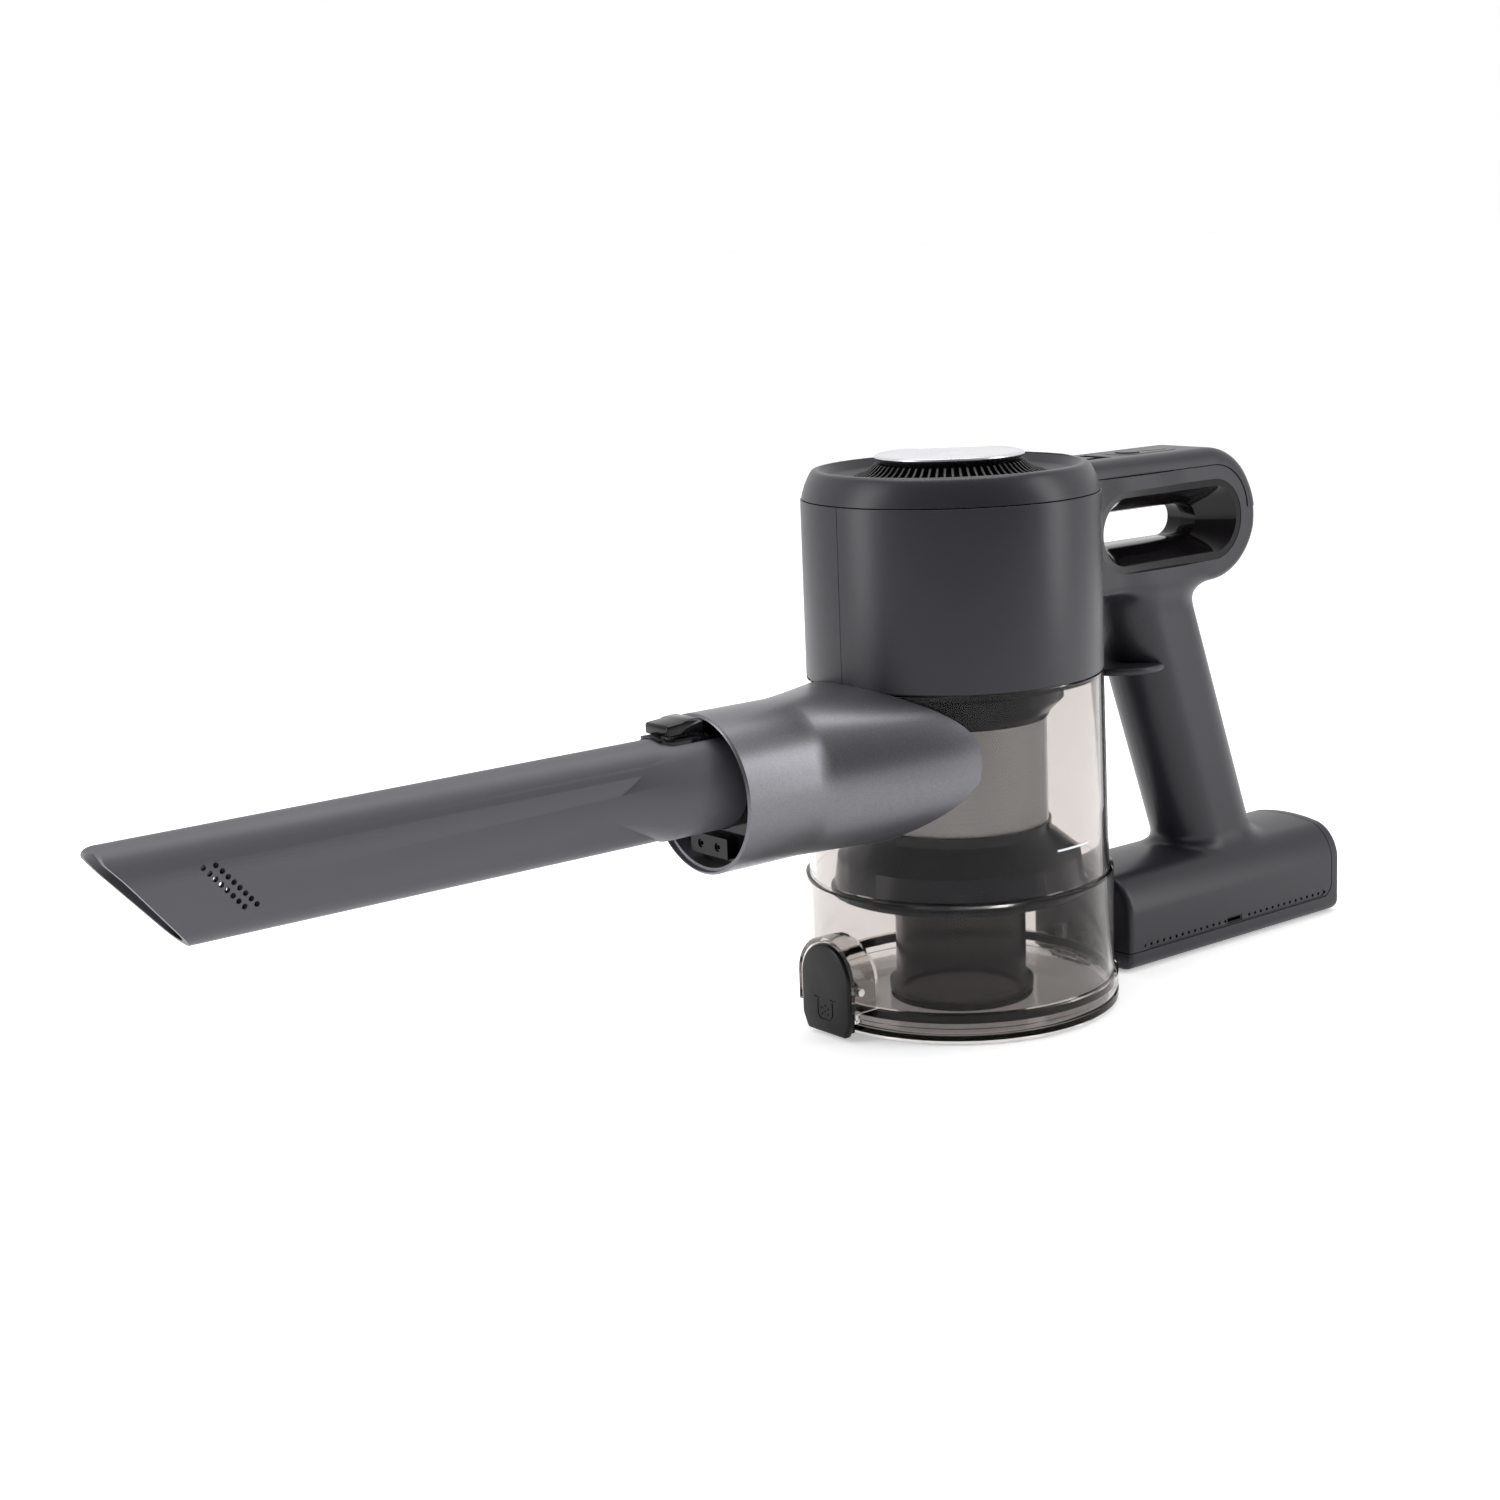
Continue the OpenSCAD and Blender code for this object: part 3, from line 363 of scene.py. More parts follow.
def solid(name, points, faces, material=None, merge=0.004):
    """An object from points in millimetres, its doubles merged and its faces turned outward."""
    mesh = bpy.data.meshes.new(name)
    mesh.from_pydata([tuple(float(c) * MM for c in p) for p in points], [], faces)
    tidy = bmesh.new()
    tidy.from_mesh(mesh)
    bmesh.ops.remove_doubles(tidy, verts=tidy.verts, dist=merge * MM)
    bmesh.ops.recalc_face_normals(tidy, faces=tidy.faces)
    tidy.to_mesh(mesh)
    tidy.free()
    piece = bpy.data.objects.new(name, mesh)
    bpy.context.scene.collection.objects.link(piece)
    return finish_mesh(piece, material) if material else piece


def discard(*pieces):
    """Removes pieces that were only needed on the way."""
    for piece in pieces:
        bpy.data.objects.remove(piece)


def evaluated(piece):
    """The piece's modifiers become its plain mesh."""
    bpy.context.view_layer.update()
    graph = bpy.context.evaluated_depsgraph_get()
    mesh = bpy.data.meshes.new_from_object(piece.evaluated_get(graph))
    piece.modifiers.clear()
    piece.data = mesh
    return piece


def carve(piece, *cutters, operation="DIFFERENCE"):
    """Cuts solids out of the piece, or keeps what it shares with them, and throws them away."""
    for cutter in cutters:
        step = piece.modifiers.new("carve", "BOOLEAN")
        step.operation = operation
        step.solver = "EXACT"
        step.object = cutter
        evaluated(piece)
        discard(cutter)
    return piece


def joined(name, pieces, material):
    """Several solids as one piece."""
    whole = bmesh.new()
    for piece in pieces:
        whole.from_mesh(piece.data)
    mesh = bpy.data.meshes.new(name)
    whole.to_mesh(mesh)
    whole.free()
    discard(*pieces)
    piece = bpy.data.objects.new(name, mesh)
    bpy.context.scene.collection.objects.link(piece)
    return finish_mesh(piece, material)


def arc(centre, r, start, end, steps=8):
    """Points of an arc, in degrees, both ends included."""
    turns = [math.radians(start + (end - start) * i / steps) for i in range(steps + 1)]
    return [(centre[0] + r * math.cos(t), centre[1] + r * math.sin(t)) for t in turns]


def eased(outline, radii, steps=4):
    """An outline with its corners rounded; radii is one number or one for each corner."""
    count = len(outline)
    if not isinstance(radii, (list, tuple)):
        radii = [radii] * count
    out = []
    for i, (corner, r) in enumerate(zip(outline, radii)):
        corner = Vector(corner)
        before = (Vector(outline[i - 1]) - corner)
        after = (Vector(outline[(i + 1) % count]) - corner)
        reach = min(before.length, after.length) * 0.48
        if r <= 0 or reach < 1e-4:
            out.append(tuple(corner))
            continue
        half = before.angle(after) / 2
        back = min(r / math.tan(half), reach)
        first, last = corner + before.normalized() * back, corner + after.normalized() * back
        for k in range(steps + 1):
            t = k / steps
            out.append(tuple(first * (1 - t) ** 2 + corner * 2 * t * (1 - t) + last * t * t))
    return out


def turned(name, profile, material=None, segments=SEGMENTS, about=(0.0, 0.0)):
    """A closed profile of (radius, height) turned round a vertical axis."""
    points, faces, count = [], [], len(profile)
    for s in range(segments):
        turn = 2 * math.pi * s / segments
        points += [(about[0] + r * math.cos(turn), about[1] + r * math.sin(turn), z) for r, z in profile]
    for s in range(segments):
        a, b = s * count, (s + 1) % segments * count
        faces += [(a + i, b + i, b + (i + 1) % count, a + (i + 1) % count) for i in range(count)
                  if max(profile[i][0], profile[(i + 1) % count][0]) > 1e-6]
    return solid(name, points, faces, material)


def lofted(name, rings, material=None, closed=False):
    """Skins rings of points that match in number; the ends are capped, or joined if it is closed."""
    count = len(rings[0])
    points = [p for ring in rings for p in ring]
    faces = []
    for k in range(len(rings) if closed else len(rings) - 1):
        a, b = k * count, (k + 1) % len(rings) * count
        faces += [(a + i, b + i, b + (i + 1) % count, a + (i + 1) % count) for i in range(count)]
    if not closed:
        faces += [tuple(range(count)), tuple(range((len(rings) - 1) * count, len(rings) * count))]
    return solid(name, points, faces, material)


def slab(name, outline, y0, y1, material=None, round_over=0.0):
    """An outline in X and Z carried from y0 to y1, its rims eased where round_over is given."""
    rings = [[(x, y, z) for x, z in outline] for y in (y0, y1)]
    piece = lofted(name, rings)
    return bevelled(piece, round_over, material)


def plate(name, outline, z0, z1, material=None, round_over=0.0):
    """An outline in X and Y carried from z0 to z1."""
    rings = [[(x, y, z) for x, y in outline] for z in (z0, z1)]
    return bevelled(lofted(name, rings), round_over, material)


def bar(name, outline, x0, x1, material=None, round_over=0.0):
    """An outline in Y and Z carried from x0 to x1."""
    rings = [[(x, y, z) for y, z in outline] for x in (x0, x1)]
    return bevelled(lofted(name, rings), round_over, material)


def bevelled(piece, width, material=None):
    """The piece with its sharp edges eased by width, and its material."""
    if width > 0:
        step = piece.modifiers.new("ease", "BEVEL")
        step.width = width * MM
        step.segments = 3
        step.limit_method = "ANGLE"
        step.angle_limit = SHARP
        step.use_clamp_overlap = True
        evaluated(piece)
    return finish_mesh(piece, material) if material else piece


def stadium(x0, x1, z, r, steps=16):
    """A slot's outline: two half rounds about (x0, z) and (x1, z)."""
    return arc((x1, z), r, -90, 90, steps) + arc((x0, z), r, 90, 270, steps)


def box_outline(low, high, r=0.0):
    """A rectangle's outline, its corners rounded where r is given."""
    corners = [(low[0], low[1]), (high[0], low[1]), (high[0], high[1]), (low[0], high[1])]
    return eased(corners, r) if r else corners


# ---- blended casings

def softer(a, b, reach):
    """The lower of two distances, with a fillet where they are close."""
    h = np.maximum(reach - np.abs(a - b), 0.0) / reach
    return np.minimum(a, b) - h * h * reach / 4


def rim(a, b, r):
    """Where two distances both hold, with their shared edge rounded to r."""
    a, b = a + r, b + r
    return np.minimum(np.maximum(a, b), 0) + np.hypot(np.maximum(a, 0), np.maximum(b, 0)) - r


def skinned(name, field, low, high, cell):
    """A closed mesh of quads on the surface where a field of distances is nought."""
    low, high = np.array(low, float), np.array(high, float)
    counts = np.ceil((high - low) / cell).astype(int) + 1
    axes = [low[i] + cell * np.arange(counts[i]) for i in range(3)]
    inside = field(*np.meshgrid(*axes, indexing="ij")) < 0
    lot = sum(inside[i:counts[0] - 1 + i, j:counts[1] - 1 + j, k:counts[2] - 1 + k].astype(int)
              for i in (0, 1) for j in (0, 1) for k in (0, 1))
    cells = np.argwhere((lot > 0) & (lot < 8))
    index = np.full(lot.shape, -1)
    index[tuple(cells.T)] = np.arange(len(cells))
    points = low + (cells + 0.5) * cell
    quads = []
    for a in range(3):
        b, c = (a + 1) % 3, (a + 2) % 3
        start = np.moveaxis(inside, (a, b, c), (0, 1, 2))
        of = np.moveaxis(index, (a, b, c), (0, 1, 2))
        first, second = start[:-1, 1:-1, 1:-1], start[1:, 1:-1, 1:-1]
        i, j, k = np.nonzero(first != second)
        square = np.stack([of[i, j + 1, k + 1], of[i, j, k + 1], of[i, j, k], of[i, j + 1, k]], axis=1)
        out = first[i, j, k]
        quads.append(np.where(out[:, None], square[:, ::-1], square))
    quads = np.concatenate(quads)
    for _ in range(4):
        points = settled(field, points, cell)
        total, share = np.zeros_like(points), np.zeros(len(points))
        for m in range(4):
            for n in (m - 1, (m + 1) % 4):
                np.add.at(total, quads[:, m], points[quads[:, n]])
                np.add.at(share, quads[:, m], 1)
        points = 0.5 * points + 0.5 * total / np.maximum(share, 1)[:, None]
    points = settled(field, points, cell)
    return solid(name, points, [tuple(int(v) for v in q) for q in quads], merge=0.001)


def settled(field, points, cell, steps=4):
    """Moves points onto the surface along the field's slope."""
    tiny = 0.05
    for _ in range(steps):
        value = field(*points.T)
        slope = np.stack([(field(*(points + step).T) - field(*(points - step).T)) / (2 * tiny)
                          for step in np.eye(3) * tiny], axis=1)
        size = np.maximum((slope ** 2).sum(axis=1), 0.05)
        points = points - np.clip(value / size, -cell, cell)[:, None] * slope
    return points


LOWER_EDGE = 3.6    # rounding of the arm's lower long edges


def arm_field(x, y, z, inset=0.0):
    """The handle's arm, with a round end and eased long edges."""
    outline = np.hypot(np.minimum(x - LOOP_X, 0), z - LOOP_Z) - LOOP_R
    front = x + HOUSING_R - 16
    above = np.clip((z - LOOP_Z + 8) / 20, 0, 1)
    r = LOWER_EDGE + (sizes().edge / MM - LOWER_EDGE) * above
    return np.maximum(rim(outline, np.abs(y) - ARM_HALF + inset, r), front)


CAP_BAND, CAP_SLOPE = 3.0, 6.2    # upright band over the seam, and the shoulder's run inwards


def cap_field(x, y, z):
    """The round top cover over the motor housing, as a solid with an eased rim."""
    across = np.hypot(x, y) - HOUSING_R
    up = np.maximum(z - COVER_HIGH[2], SEAM_Z - 12 - z)
    rise, run = COVER_HIGH[2] - SEAM_Z - CAP_BAND, CAP_SLOPE
    slope = (across * rise + (z - SEAM_Z - CAP_BAND) * run) / math.hypot(rise, run) - 0.9
    return rim(rim(across, slope, 5.0), up, 0.8)


def grip_field(x, y, z):
    """The leaning grip, a flattened round without ends."""
    along = (x - GRIP_FOOT_X) * math.cos(LEAN) - (z - GRIP_FOOT_Z) * math.sin(LEAN)
    return np.hypot(np.maximum(np.abs(along) - GRIP_FLAT / 2, 0), y) - GRIP_R


def battery_field(x, y, z):
    """The battery's body: square below, broad shoulders above and a gently crowned top."""
    half, top, back, front = BATTERY_HIGH[1], BATTERY_HIGH[2], TRAY_LOW[0], BATTERY_HIGH[0]
    crown = np.hypot(y, z - top + 85) - 85
    section = rim(np.abs(y) - half, crown, 12.0)
    section = np.where(z < 14, rim(np.abs(y) - half, -z, 5.0), section)
    ends = np.maximum(back - x, x - front)
    return rim(section, ends, 2.2)


# ---- repeats, by Geometry Nodes

def repeat_tree(name, around):
    """A tree that repeats one object: around the vertical axis, or along a line."""
    tree = bpy.data.node_groups.new(name, "GeometryNodeTree")
    face = tree.interface
    for label, kind in (("Piece", "NodeSocketObject"), ("Count", "NodeSocketInt"), ("Step", "NodeSocketVector"),
                        ("Finish", "NodeSocketMaterial")):
        face.new_socket(label, in_out="INPUT", socket_type=kind)
    face.new_socket("Mesh", in_out="OUTPUT", socket_type="NodeSocketGeometry")
    add, link = tree.nodes.new, tree.links.new
    given, result = add("NodeGroupInput"), add("NodeGroupOutput")
    fetched = add("GeometryNodeObjectInfo")
    link(given.outputs["Piece"], fetched.inputs["Object"])
    line = add("GeometryNodeMeshLine")
    link(given.outputs["Count"], line.inputs["Count"])
    spread = add("GeometryNodeInstanceOnPoints")
    link(line.outputs["Mesh"], spread.inputs["Points"])
    link(fetched.outputs["Geometry"], spread.inputs["Instance"])
    if around:
        line.inputs["Offset"].default_value = (0, 0, 0)
        order = add("GeometryNodeInputIndex")
        turn = add("ShaderNodeVectorMath")
        turn.operation = "SCALE"
        link(given.outputs["Step"], turn.inputs[0])
        link(order.outputs["Index"], turn.inputs["Scale"])
        link(turn.outputs["Vector"], spread.inputs["Rotation"])
    else:
        link(given.outputs["Step"], line.inputs["Offset"])
    real, dress = add("GeometryNodeRealizeInstances"), add("GeometryNodeSetMaterial")
    link(spread.outputs["Instances"], real.inputs["Geometry"])
    link(real.outputs["Geometry"], dress.inputs["Geometry"])
    link(given.outputs["Finish"], dress.inputs["Material"])
    link(dress.outputs["Geometry"], result.inputs["Mesh"])
    return tree


def repeated(name, piece, count, step, material, around):
    """The piece repeated by its tree, as one plain mesh; step is a turn in radians or a move in millimetres."""
    key = "Repeat Around" if around else "Repeat Along"
    tree = bpy.data.node_groups.get(key) or repeat_tree(key, around)
    holder = bpy.data.objects.new(name, bpy.data.meshes.new(name))
    bpy.context.scene.collection.objects.link(holder)
    maker = holder.modifiers.new("repeat", "NODES")
    maker.node_group = tree
    sockets = {s.name: s.identifier for s in tree.interface.items_tree if s.in_out == "INPUT"}
    maker[sockets["Piece"]] = piece
    maker[sockets["Count"]] = count
    maker[sockets["Step"]] = step if around else [c * MM for c in step]
    maker[sockets["Finish"]] = materials[material]
    evaluated(holder)
    discard(piece)
    return finish_mesh(holder, material)


# ---- top cover, exhaust and housing

def panel_slab(name, play):
    """The side panel's outline inside the cover's band, play smaller all round, as a wide solid."""
    inner = LOOP_R - COVER_BAND - play
    front, back, low = -HOUSING_R + 18, LOOP_X - LOOP_R - 40, BATTERY_HIGH[2] + 8
    outline = [(front, low), (front, LOOP_Z + inner)] + arc((LOOP_X, LOOP_Z), inner, 90, 176, 20)
    outline += [(back, NOTCH_Z - play), (back, low)]
    return slab(name, outline, -60, 60)


def under_cover(name, r, low, high):
    return turned(name, [(0, low), (r, low), (r, high), (0, high)])


def build_cover():
    """Cap and arm cover in one: eased edges, a fillet between them and the exhaust's dish."""
    def field(x, y, z):
        return softer(cap_field(x, y, z), arm_field(x, y, z), 7.0)
    low = (COVER_LOW[0] - 4, -HOUSING_R - 4, ARM_LOW[2] - 4)
    high = (HOUSING_R + 4, HOUSING_R + 4, COVER_HIGH[2] + 4)
    piece = skinned("cover_shell", field, low, high, sizes().cell / MM)
    top, ledge = COVER_HIGH[2], GRILLE_LOW[2] - 0.3
    well_r = GRILLE_HIGH[0] + 0.5
    dish = [(0, top + 9), (52.4, top + 9), (51.6, top - 0.1), (49.4, top - 2.6), (48.7, top - 3.4), (48.0, top - 3.2),
            (47.2, top - 3.9), (well_r + 1.2, top - 5.6), (well_r, top - 6.2), (well_r, ledge), (well_r - 2.2, ledge),
            (well_r - 2.2, ledge - 2), (HOUSING_R - 4, ledge - 2.6), (HOUSING_R - 4, SEAM_Z - 20), (0, SEAM_Z - 20)]
    carve(piece, turned("dish", dish), panel_slab("panel_gap", -HAIR),
          under_cover("housing_gap", HOUSING_R + HAIR, ARM_LOW[2] - 20, SEAM_Z + HAIR))
    catch = slab("catch_slot", box_outline((-84, ARM_HIGH[2] + 4.6), (-65.5, ARM_HIGH[2] + 12), 0), -7.5, 7.5)
    pad = plate("panel_slot", stadium(PANEL_LOW[0] + 8, PANEL_HIGH[0] - 8, 0, 8.1), PANEL_LOW[2] - 0.1, top + 5)
    well = turned("key_well", [(0, SEAM_Z + 0.3), (5.1, SEAM_Z + 0.3), (5.1, top), (0, top)], about=(KEY_X, 0))
    return finish_mesh(carve(piece, catch, pad, well), "casing")


def build_housing():
    """The motor housing: a thin round wall with an eased foot and a floor."""
    low, r, wall = HOUSING_LOW[2], HOUSING_R, 2.5
    profile = [(26, low), (r, low), (r, SEAM_Z - HAIR), (r - wall, SEAM_Z - HAIR), (r - wall, low + 3), (26, low + 3)]
    piece = turned("housing_shell", eased(profile, [0.4, 0.9, 0.35, 0.3, 1.5, 0.4]), "casing", 160)
    line = plate("mould_line", box_outline((r - 0.16, -0.14), (r + 2, 0.14)), low - 2, SEAM_Z + 2)
    return finish_mesh(carve(piece, line), "casing")


def build_grille():
    """Fins that flare out below the disc, on a ring and a hub."""
    low, top, wide, disc_r = GRILLE_LOW[2], DISC_LOW[2], GRILLE_HIGH[0] - 0.6, DISC_HIGH[0]
    outer = [(wide, low + 0.6), (wide, low + 3.2), (wide - 1.2, low + 3.8), (disc_r + 6.2, low + 4.4),
             (disc_r + 3.6, low + 5.3), (disc_r + 1.6, low + 6.7), (disc_r + 0.3, top - 0.5), (disc_r - 0.4, top)]
    inner = [(disc_r - 6, top), (disc_r - 6, low + 0.6)]
    fin = slab("fin", outer + inner, -0.55, 0.55, "satin_black", 0.22)
    count = sizes().fins
    fins = repeated("fins", fin, count, (0, 0, 2 * math.pi / count), "satin_black", True)
    ring = turned("grille_ring", eased([(wide - 1.4, low), (GRILLE_HIGH[0], low), (GRILLE_HIGH[0], low + 2.4),
                                        (wide - 1.4, low + 1.4)], 0.3))
    hub = turned("grille_hub", eased([(disc_r - 7, low), (wide, low), (wide, low + 0.9), (disc_r + 1, low + 1.6),
                                      (disc_r - 4, top - 1), (disc_r - 4, top), (disc_r - 7, top)], 0.3))
    return joined("exhaust_fins", [fins, ring, hub], "satin_black")


def build_disc():
    """Pale disc over the fins: eased rim and a shallow dish."""
    low, high, r = DISC_LOW[2], DISC_HIGH[2], DISC_HIGH[0]
    profile = [(0, low), (r - 2.6, low), (r - 0.5, low + 1.6), (r, high - 1.1), (r - 0.5, high - 0.3),
               (r - 1.7, high), (r - 2.6, high - 0.5), (0, high - 0.7)]
    return turned("disc", eased(profile, [0, 0.5, 0.6, 0.3, 0.3, 0.4, 0.3, 0]), "disc_silver")


# ---- handle

def build_handle():
    """Arm and grip as one eased form, in two halves that meet in the middle."""
    def field(x, y, z):
        return softer(arm_field(x, y, z, 0.35), grip_field(x, y, z), sizes().neck / MM)
    low = (ARM_LOW[0] - 26, -ARM_HALF - 4, BATTERY_HIGH[2] + 2)
    high = (-HOUSING_R + 20, ARM_HALF + 4, COVER_HIGH[2] + 2)
    whole = skinned("handle_form", lambda x, y, z: np.maximum(field(x, y, z), BATTERY_HIGH[2] + 5 - z),
                    low, high, sizes().cell / MM)
    carve(whole, panel_slab("panel_keep", HAIR), operation="INTERSECT")
    hole = slab("hole", stadium(HOLE_BACK, HOLE_FRONT, HOLE_Z, HOLE_R + 0.06, 24), -40, 40)
    pocket = slab("pocket", box_outline((LOOP_X - LOOP_R - 5, NOTCH_Z - 6.2), (LOOP_X - LOOP_R + 4.4, NOTCH_Z + 2)),
                  -6.6, 6.6)
    carve(whole, under_cover("housing_clear", HOUSING_R + HAIR, ARM_LOW[2] - 60, SEAM_Z + 20), hole, pocket)
    halves = []
    for side, name in ((1, "handle_shell_left"), (-1, "handle_shell_right")):
        half = whole.copy()
        half.data = whole.data.copy()
        half.name = name
        bpy.context.scene.collection.objects.link(half)
        room = sorted((0.03 * side, 60 * side))
        keep = slab("half_keep", box_outline((-300, 0), (0, 300)), *room)
        halves.append(finish_mesh(carve(half, keep, operation="INTERSECT"), "casing"))
    discard(whole)
    return halves


def build_liner():
    """Gloss liner of the hole: a flat lip, a funnel to a narrower throat, and the same beyond."""
    lip_y = ARM_HALF - 0.55
    side = [(HOLE_R, lip_y, 0), (HOLE_R - 2.9, lip_y, 0), (HOLE_R - 3.4, lip_y - 0.5, 0), (HOLE_R - 6.4, 13.2, 3.0),
            (HOLE_R - 8.8, 9.2, 6.2), (HOLE_R - 9.6, 7.8, 7.3), (HOLE_R - 9.8, 0.5, 7.5)]
    path = side + [(r, -y, shift) for r, y, shift in reversed(side)]
    rings = [[(x, y, z) for x, z in stadium(HOLE_BACK + shift, HOLE_FRONT, HOLE_Z, r, 28)] for r, y, shift in path]
    return lofted("hole_liner", rings, "gloss_black", closed=True)


def build_guard():
    """Finger guard: a thin shelf round the front of the grip, running out to points."""
    low, high, r = GUARD_LOW[2], GUARD_HIGH[2], GUARD_HIGH[1]
    outline = arc((GUARD_HIGH[0] - r, 0), r, -118, 118, 40)
    return plate("guard", outline, low, high, "casing", 1.0)


# ---- battery

def battery_seam(play):
    """What belongs to the housing above the tray's seam, in X and Z, with a round corner at the end cap."""
    low, back = BATTERY_LOW[2] + play, BATTERY_LOW[0] + 0.3 + play
    front, high = BATTERY_HIGH[0] + 30, GRIP_LOW[2] + 60
    corner = [(back + 6 + p[0], low + 6 + p[1]) for p in arc((0, 0), 6, 180, 270, 8)]
    return [(back, high)] + corner + [(front, low), (front, high)]


def build_battery():
    """Battery housing with the grip's foot, its vents and socket slot; and the tray with its end cap."""
    half, cell = BATTERY_HIGH[1], sizes().cell / MM
    low, high = (TRAY_LOW[0] - 4, -half - 4, -4), (BATTERY_HIGH[0] + 4, half + 4, BATTERY_HIGH[2] + 16)

    def with_foot(x, y, z):
        both = softer(battery_field(x, y, z), grip_field(x, y, z), sizes().foot / MM)
        return np.maximum(both, z - BATTERY_HIGH[2] - 10)
    shell = skinned("battery_shell", with_foot, low, high, cell)
    carve(shell, slab("seam_keep", battery_seam(HAIR), -60, 60), operation="INTERSECT")
    trim = under_cover("foot_trim", 60, BATTERY_HIGH[2] + 8, BATTERY_HIGH[2] + 30)
    trim.data.transform(Matrix.Translation((GRIP_FOOT_X * MM, 0, 0)))
    carve(shell, trim)
    vent_z, pitch = BATTERY_LOW[2] + 2.1, 3.9
    for side in (1, -1):
        skin = sorted((side * (half - 0.35), side * (half + 5)))
        deep = sorted((side * (half - 4), side * (half + 5)))
        ends = VENT_MIDDLE - 15 * pitch, VENT_MIDDLE + 14 * pitch
        carve(shell, slab("strip", stadium(*ends, vent_z, 1.6, 8), *skin))
        for first, count in ((2.5, 14), (-14.5, 14)):
            hole = slab("vent", arc((VENT_MIDDLE + (first - 1) * pitch, vent_z), 0.72, 0, 345, 23), *deep)
            carve(shell, repeated("vents", hole, count, (pitch, 0, 0), "casing", False))
    slot = box_outline((VENT_MIDDLE - 4.9, vent_z - 1.4), (VENT_MIDDLE + 4.9, vent_z + 1.4), 0.5)
    carve(shell, slab("slot", slot, half - 7, half + 5))
    tray = skinned("battery_base", battery_field, low, high, cell)
    carve(tray, slab("seam_cut", battery_seam(-HAIR), -60, 60))
    key = BATTERY_HIGH[2] / 2
    pocket = box_outline((-10.4, key - 4.4), (10.4, key + 4.4), 0.8)
    carve(tray, bar("key_pocket", pocket, TRAY_LOW[0] - 5, TRAY_LOW[0] + 4))
    return finish_mesh(shell, "casing"), finish_mesh(tray, "casing")


# ---- inlet duct

def cup_wall_at(z):
    """Outer radius of the cup at a height, with room for the duct's edge."""
    return HOUSING_R + 1.4 * max(0.0, min((HOUSING_LOW[2] - z) / 80, 1)) + 0.12


UPPER_BLUNT = 0.32    # how much squarer than a round the flare's upper edge is
FLARE_GROWTH = 20.2    # how much wider the flare is where it meets the cup


def duct_point(turn, t, inset):
    """A point of the flare: turn goes round the duct, t from the sleeve's end back into the cup."""
    bow = math.sin(t * math.pi / 2) ** 1.15
    wide = (DUCT_R - inset) + FLARE_GROWTH * bow
    tall = (DUCT_R - inset) + 1.2 * bow
    x = SLEEVE_BACK * (1 - t) + 20 * t
    power = 1 - UPPER_BLUNT * bow if math.sin(turn) > 0 else 1
    across, up = (math.copysign(abs(c) ** power, c) for c in (math.cos(turn), math.sin(turn)))
    return x, wide * across, DUCT_Z + tall * up


def on_cup(turn, inset):
    """How far back the flare runs, in t, before it meets the cup."""
    low, high = 0.0, 1.0
    for _ in range(40):
        t = (low + high) / 2
        x, y, z = duct_point(turn, t, inset)
        if math.hypot(x, y) > cup_wall_at(z):
            low = t
        else:
            high = t
    return low


def build_duct():
    """Sleeve with a bevelled mouth, and a flare whose round edge lies on the cup."""
    around, rows = 144, 22
    turns = [2 * math.pi * i / around for i in range(around)]

    def sleeve(x, r):
        return [(x, r * math.cos(a), DUCT_Z + r * math.sin(a)) for a in turns]

    def flare(share, inset):
        return [duct_point(a, share * on_cup(a, inset), inset) for a in turns]
    mouth = ((0.2, 1.1), (0.0, 0.9), (0.05, 0.75), (0.9, 0.0))
    outer = [sleeve(MOUTH_X - back, DUCT_R - inset) for back, inset in mouth]
    outer += [sleeve(MOUTH_X - 1 - (MOUTH_X - 1 - SLEEVE_BACK) * k / 8, DUCT_R) for k in range(1, 9)]
    outer += [flare(k / rows, 0.0) for k in range(1, rows + 1)]
    inner = [flare(k / rows, DUCT_WALL) for k in range(rows, 0, -1)]
    inner += [sleeve(SLEEVE_BACK, DUCT_R - DUCT_WALL), sleeve(MOUTH_X - 2.4, DUCT_R - DUCT_WALL),
              sleeve(MOUTH_X - 2.2, DUCT_R - 1.3)]
    return lofted("duct_shell", outer + inner, "pewter", closed=True)


# ---- crevice tool

def tool_outline(inset, steps=14):
    """The flat part's section in Y and Z: a large round above, a small round below."""
    high_r, low_r = FLAT_TOP_R - inset, FLAT_FOOT_R - inset
    high_z, low_z = TOOL_Z + COLLAR_R - 0.2 - FLAT_TOP_R, TOOL_Z - COLLAR_R + 0.2 + FLAT_FOOT_R
    tilt = math.degrees(math.asin((high_r - low_r) / (high_z - low_z)))
    return (arc((0, high_z), high_r, -tilt, 180 + tilt, steps * 2)
            + arc((0, low_z), low_r, 180 + tilt, 360 - tilt, steps))


def round_x(name, stations, about_y=0.0, about_z=0.0, steps=96):
    """A solid turned about an axis along X, from (x, radius) stations."""
    turns = [2 * math.pi * i / steps for i in range(steps)]
    return lofted(name, [[(x, about_y + r * math.cos(a), about_z + r * math.sin(a)) for a in turns]
                         for x, r in stations])


def tool_form(name, inset, back, start, front):
    """Collar, short cone and flat part as one solid, smaller all round by inset; the flat part begins at start."""
    stations = [(back, COLLAR_R), (COLLAR_FRONT, COLLAR_R), (FLAT_X, CONE_END_R)]
    round_part = round_x(name, [(x, r - inset) for x, r in stations], about_z=TOOL_Z)
    flat_part = bar("flat", tool_outline(inset), start, front)
    return carve(round_part, flat_part, operation="UNION")


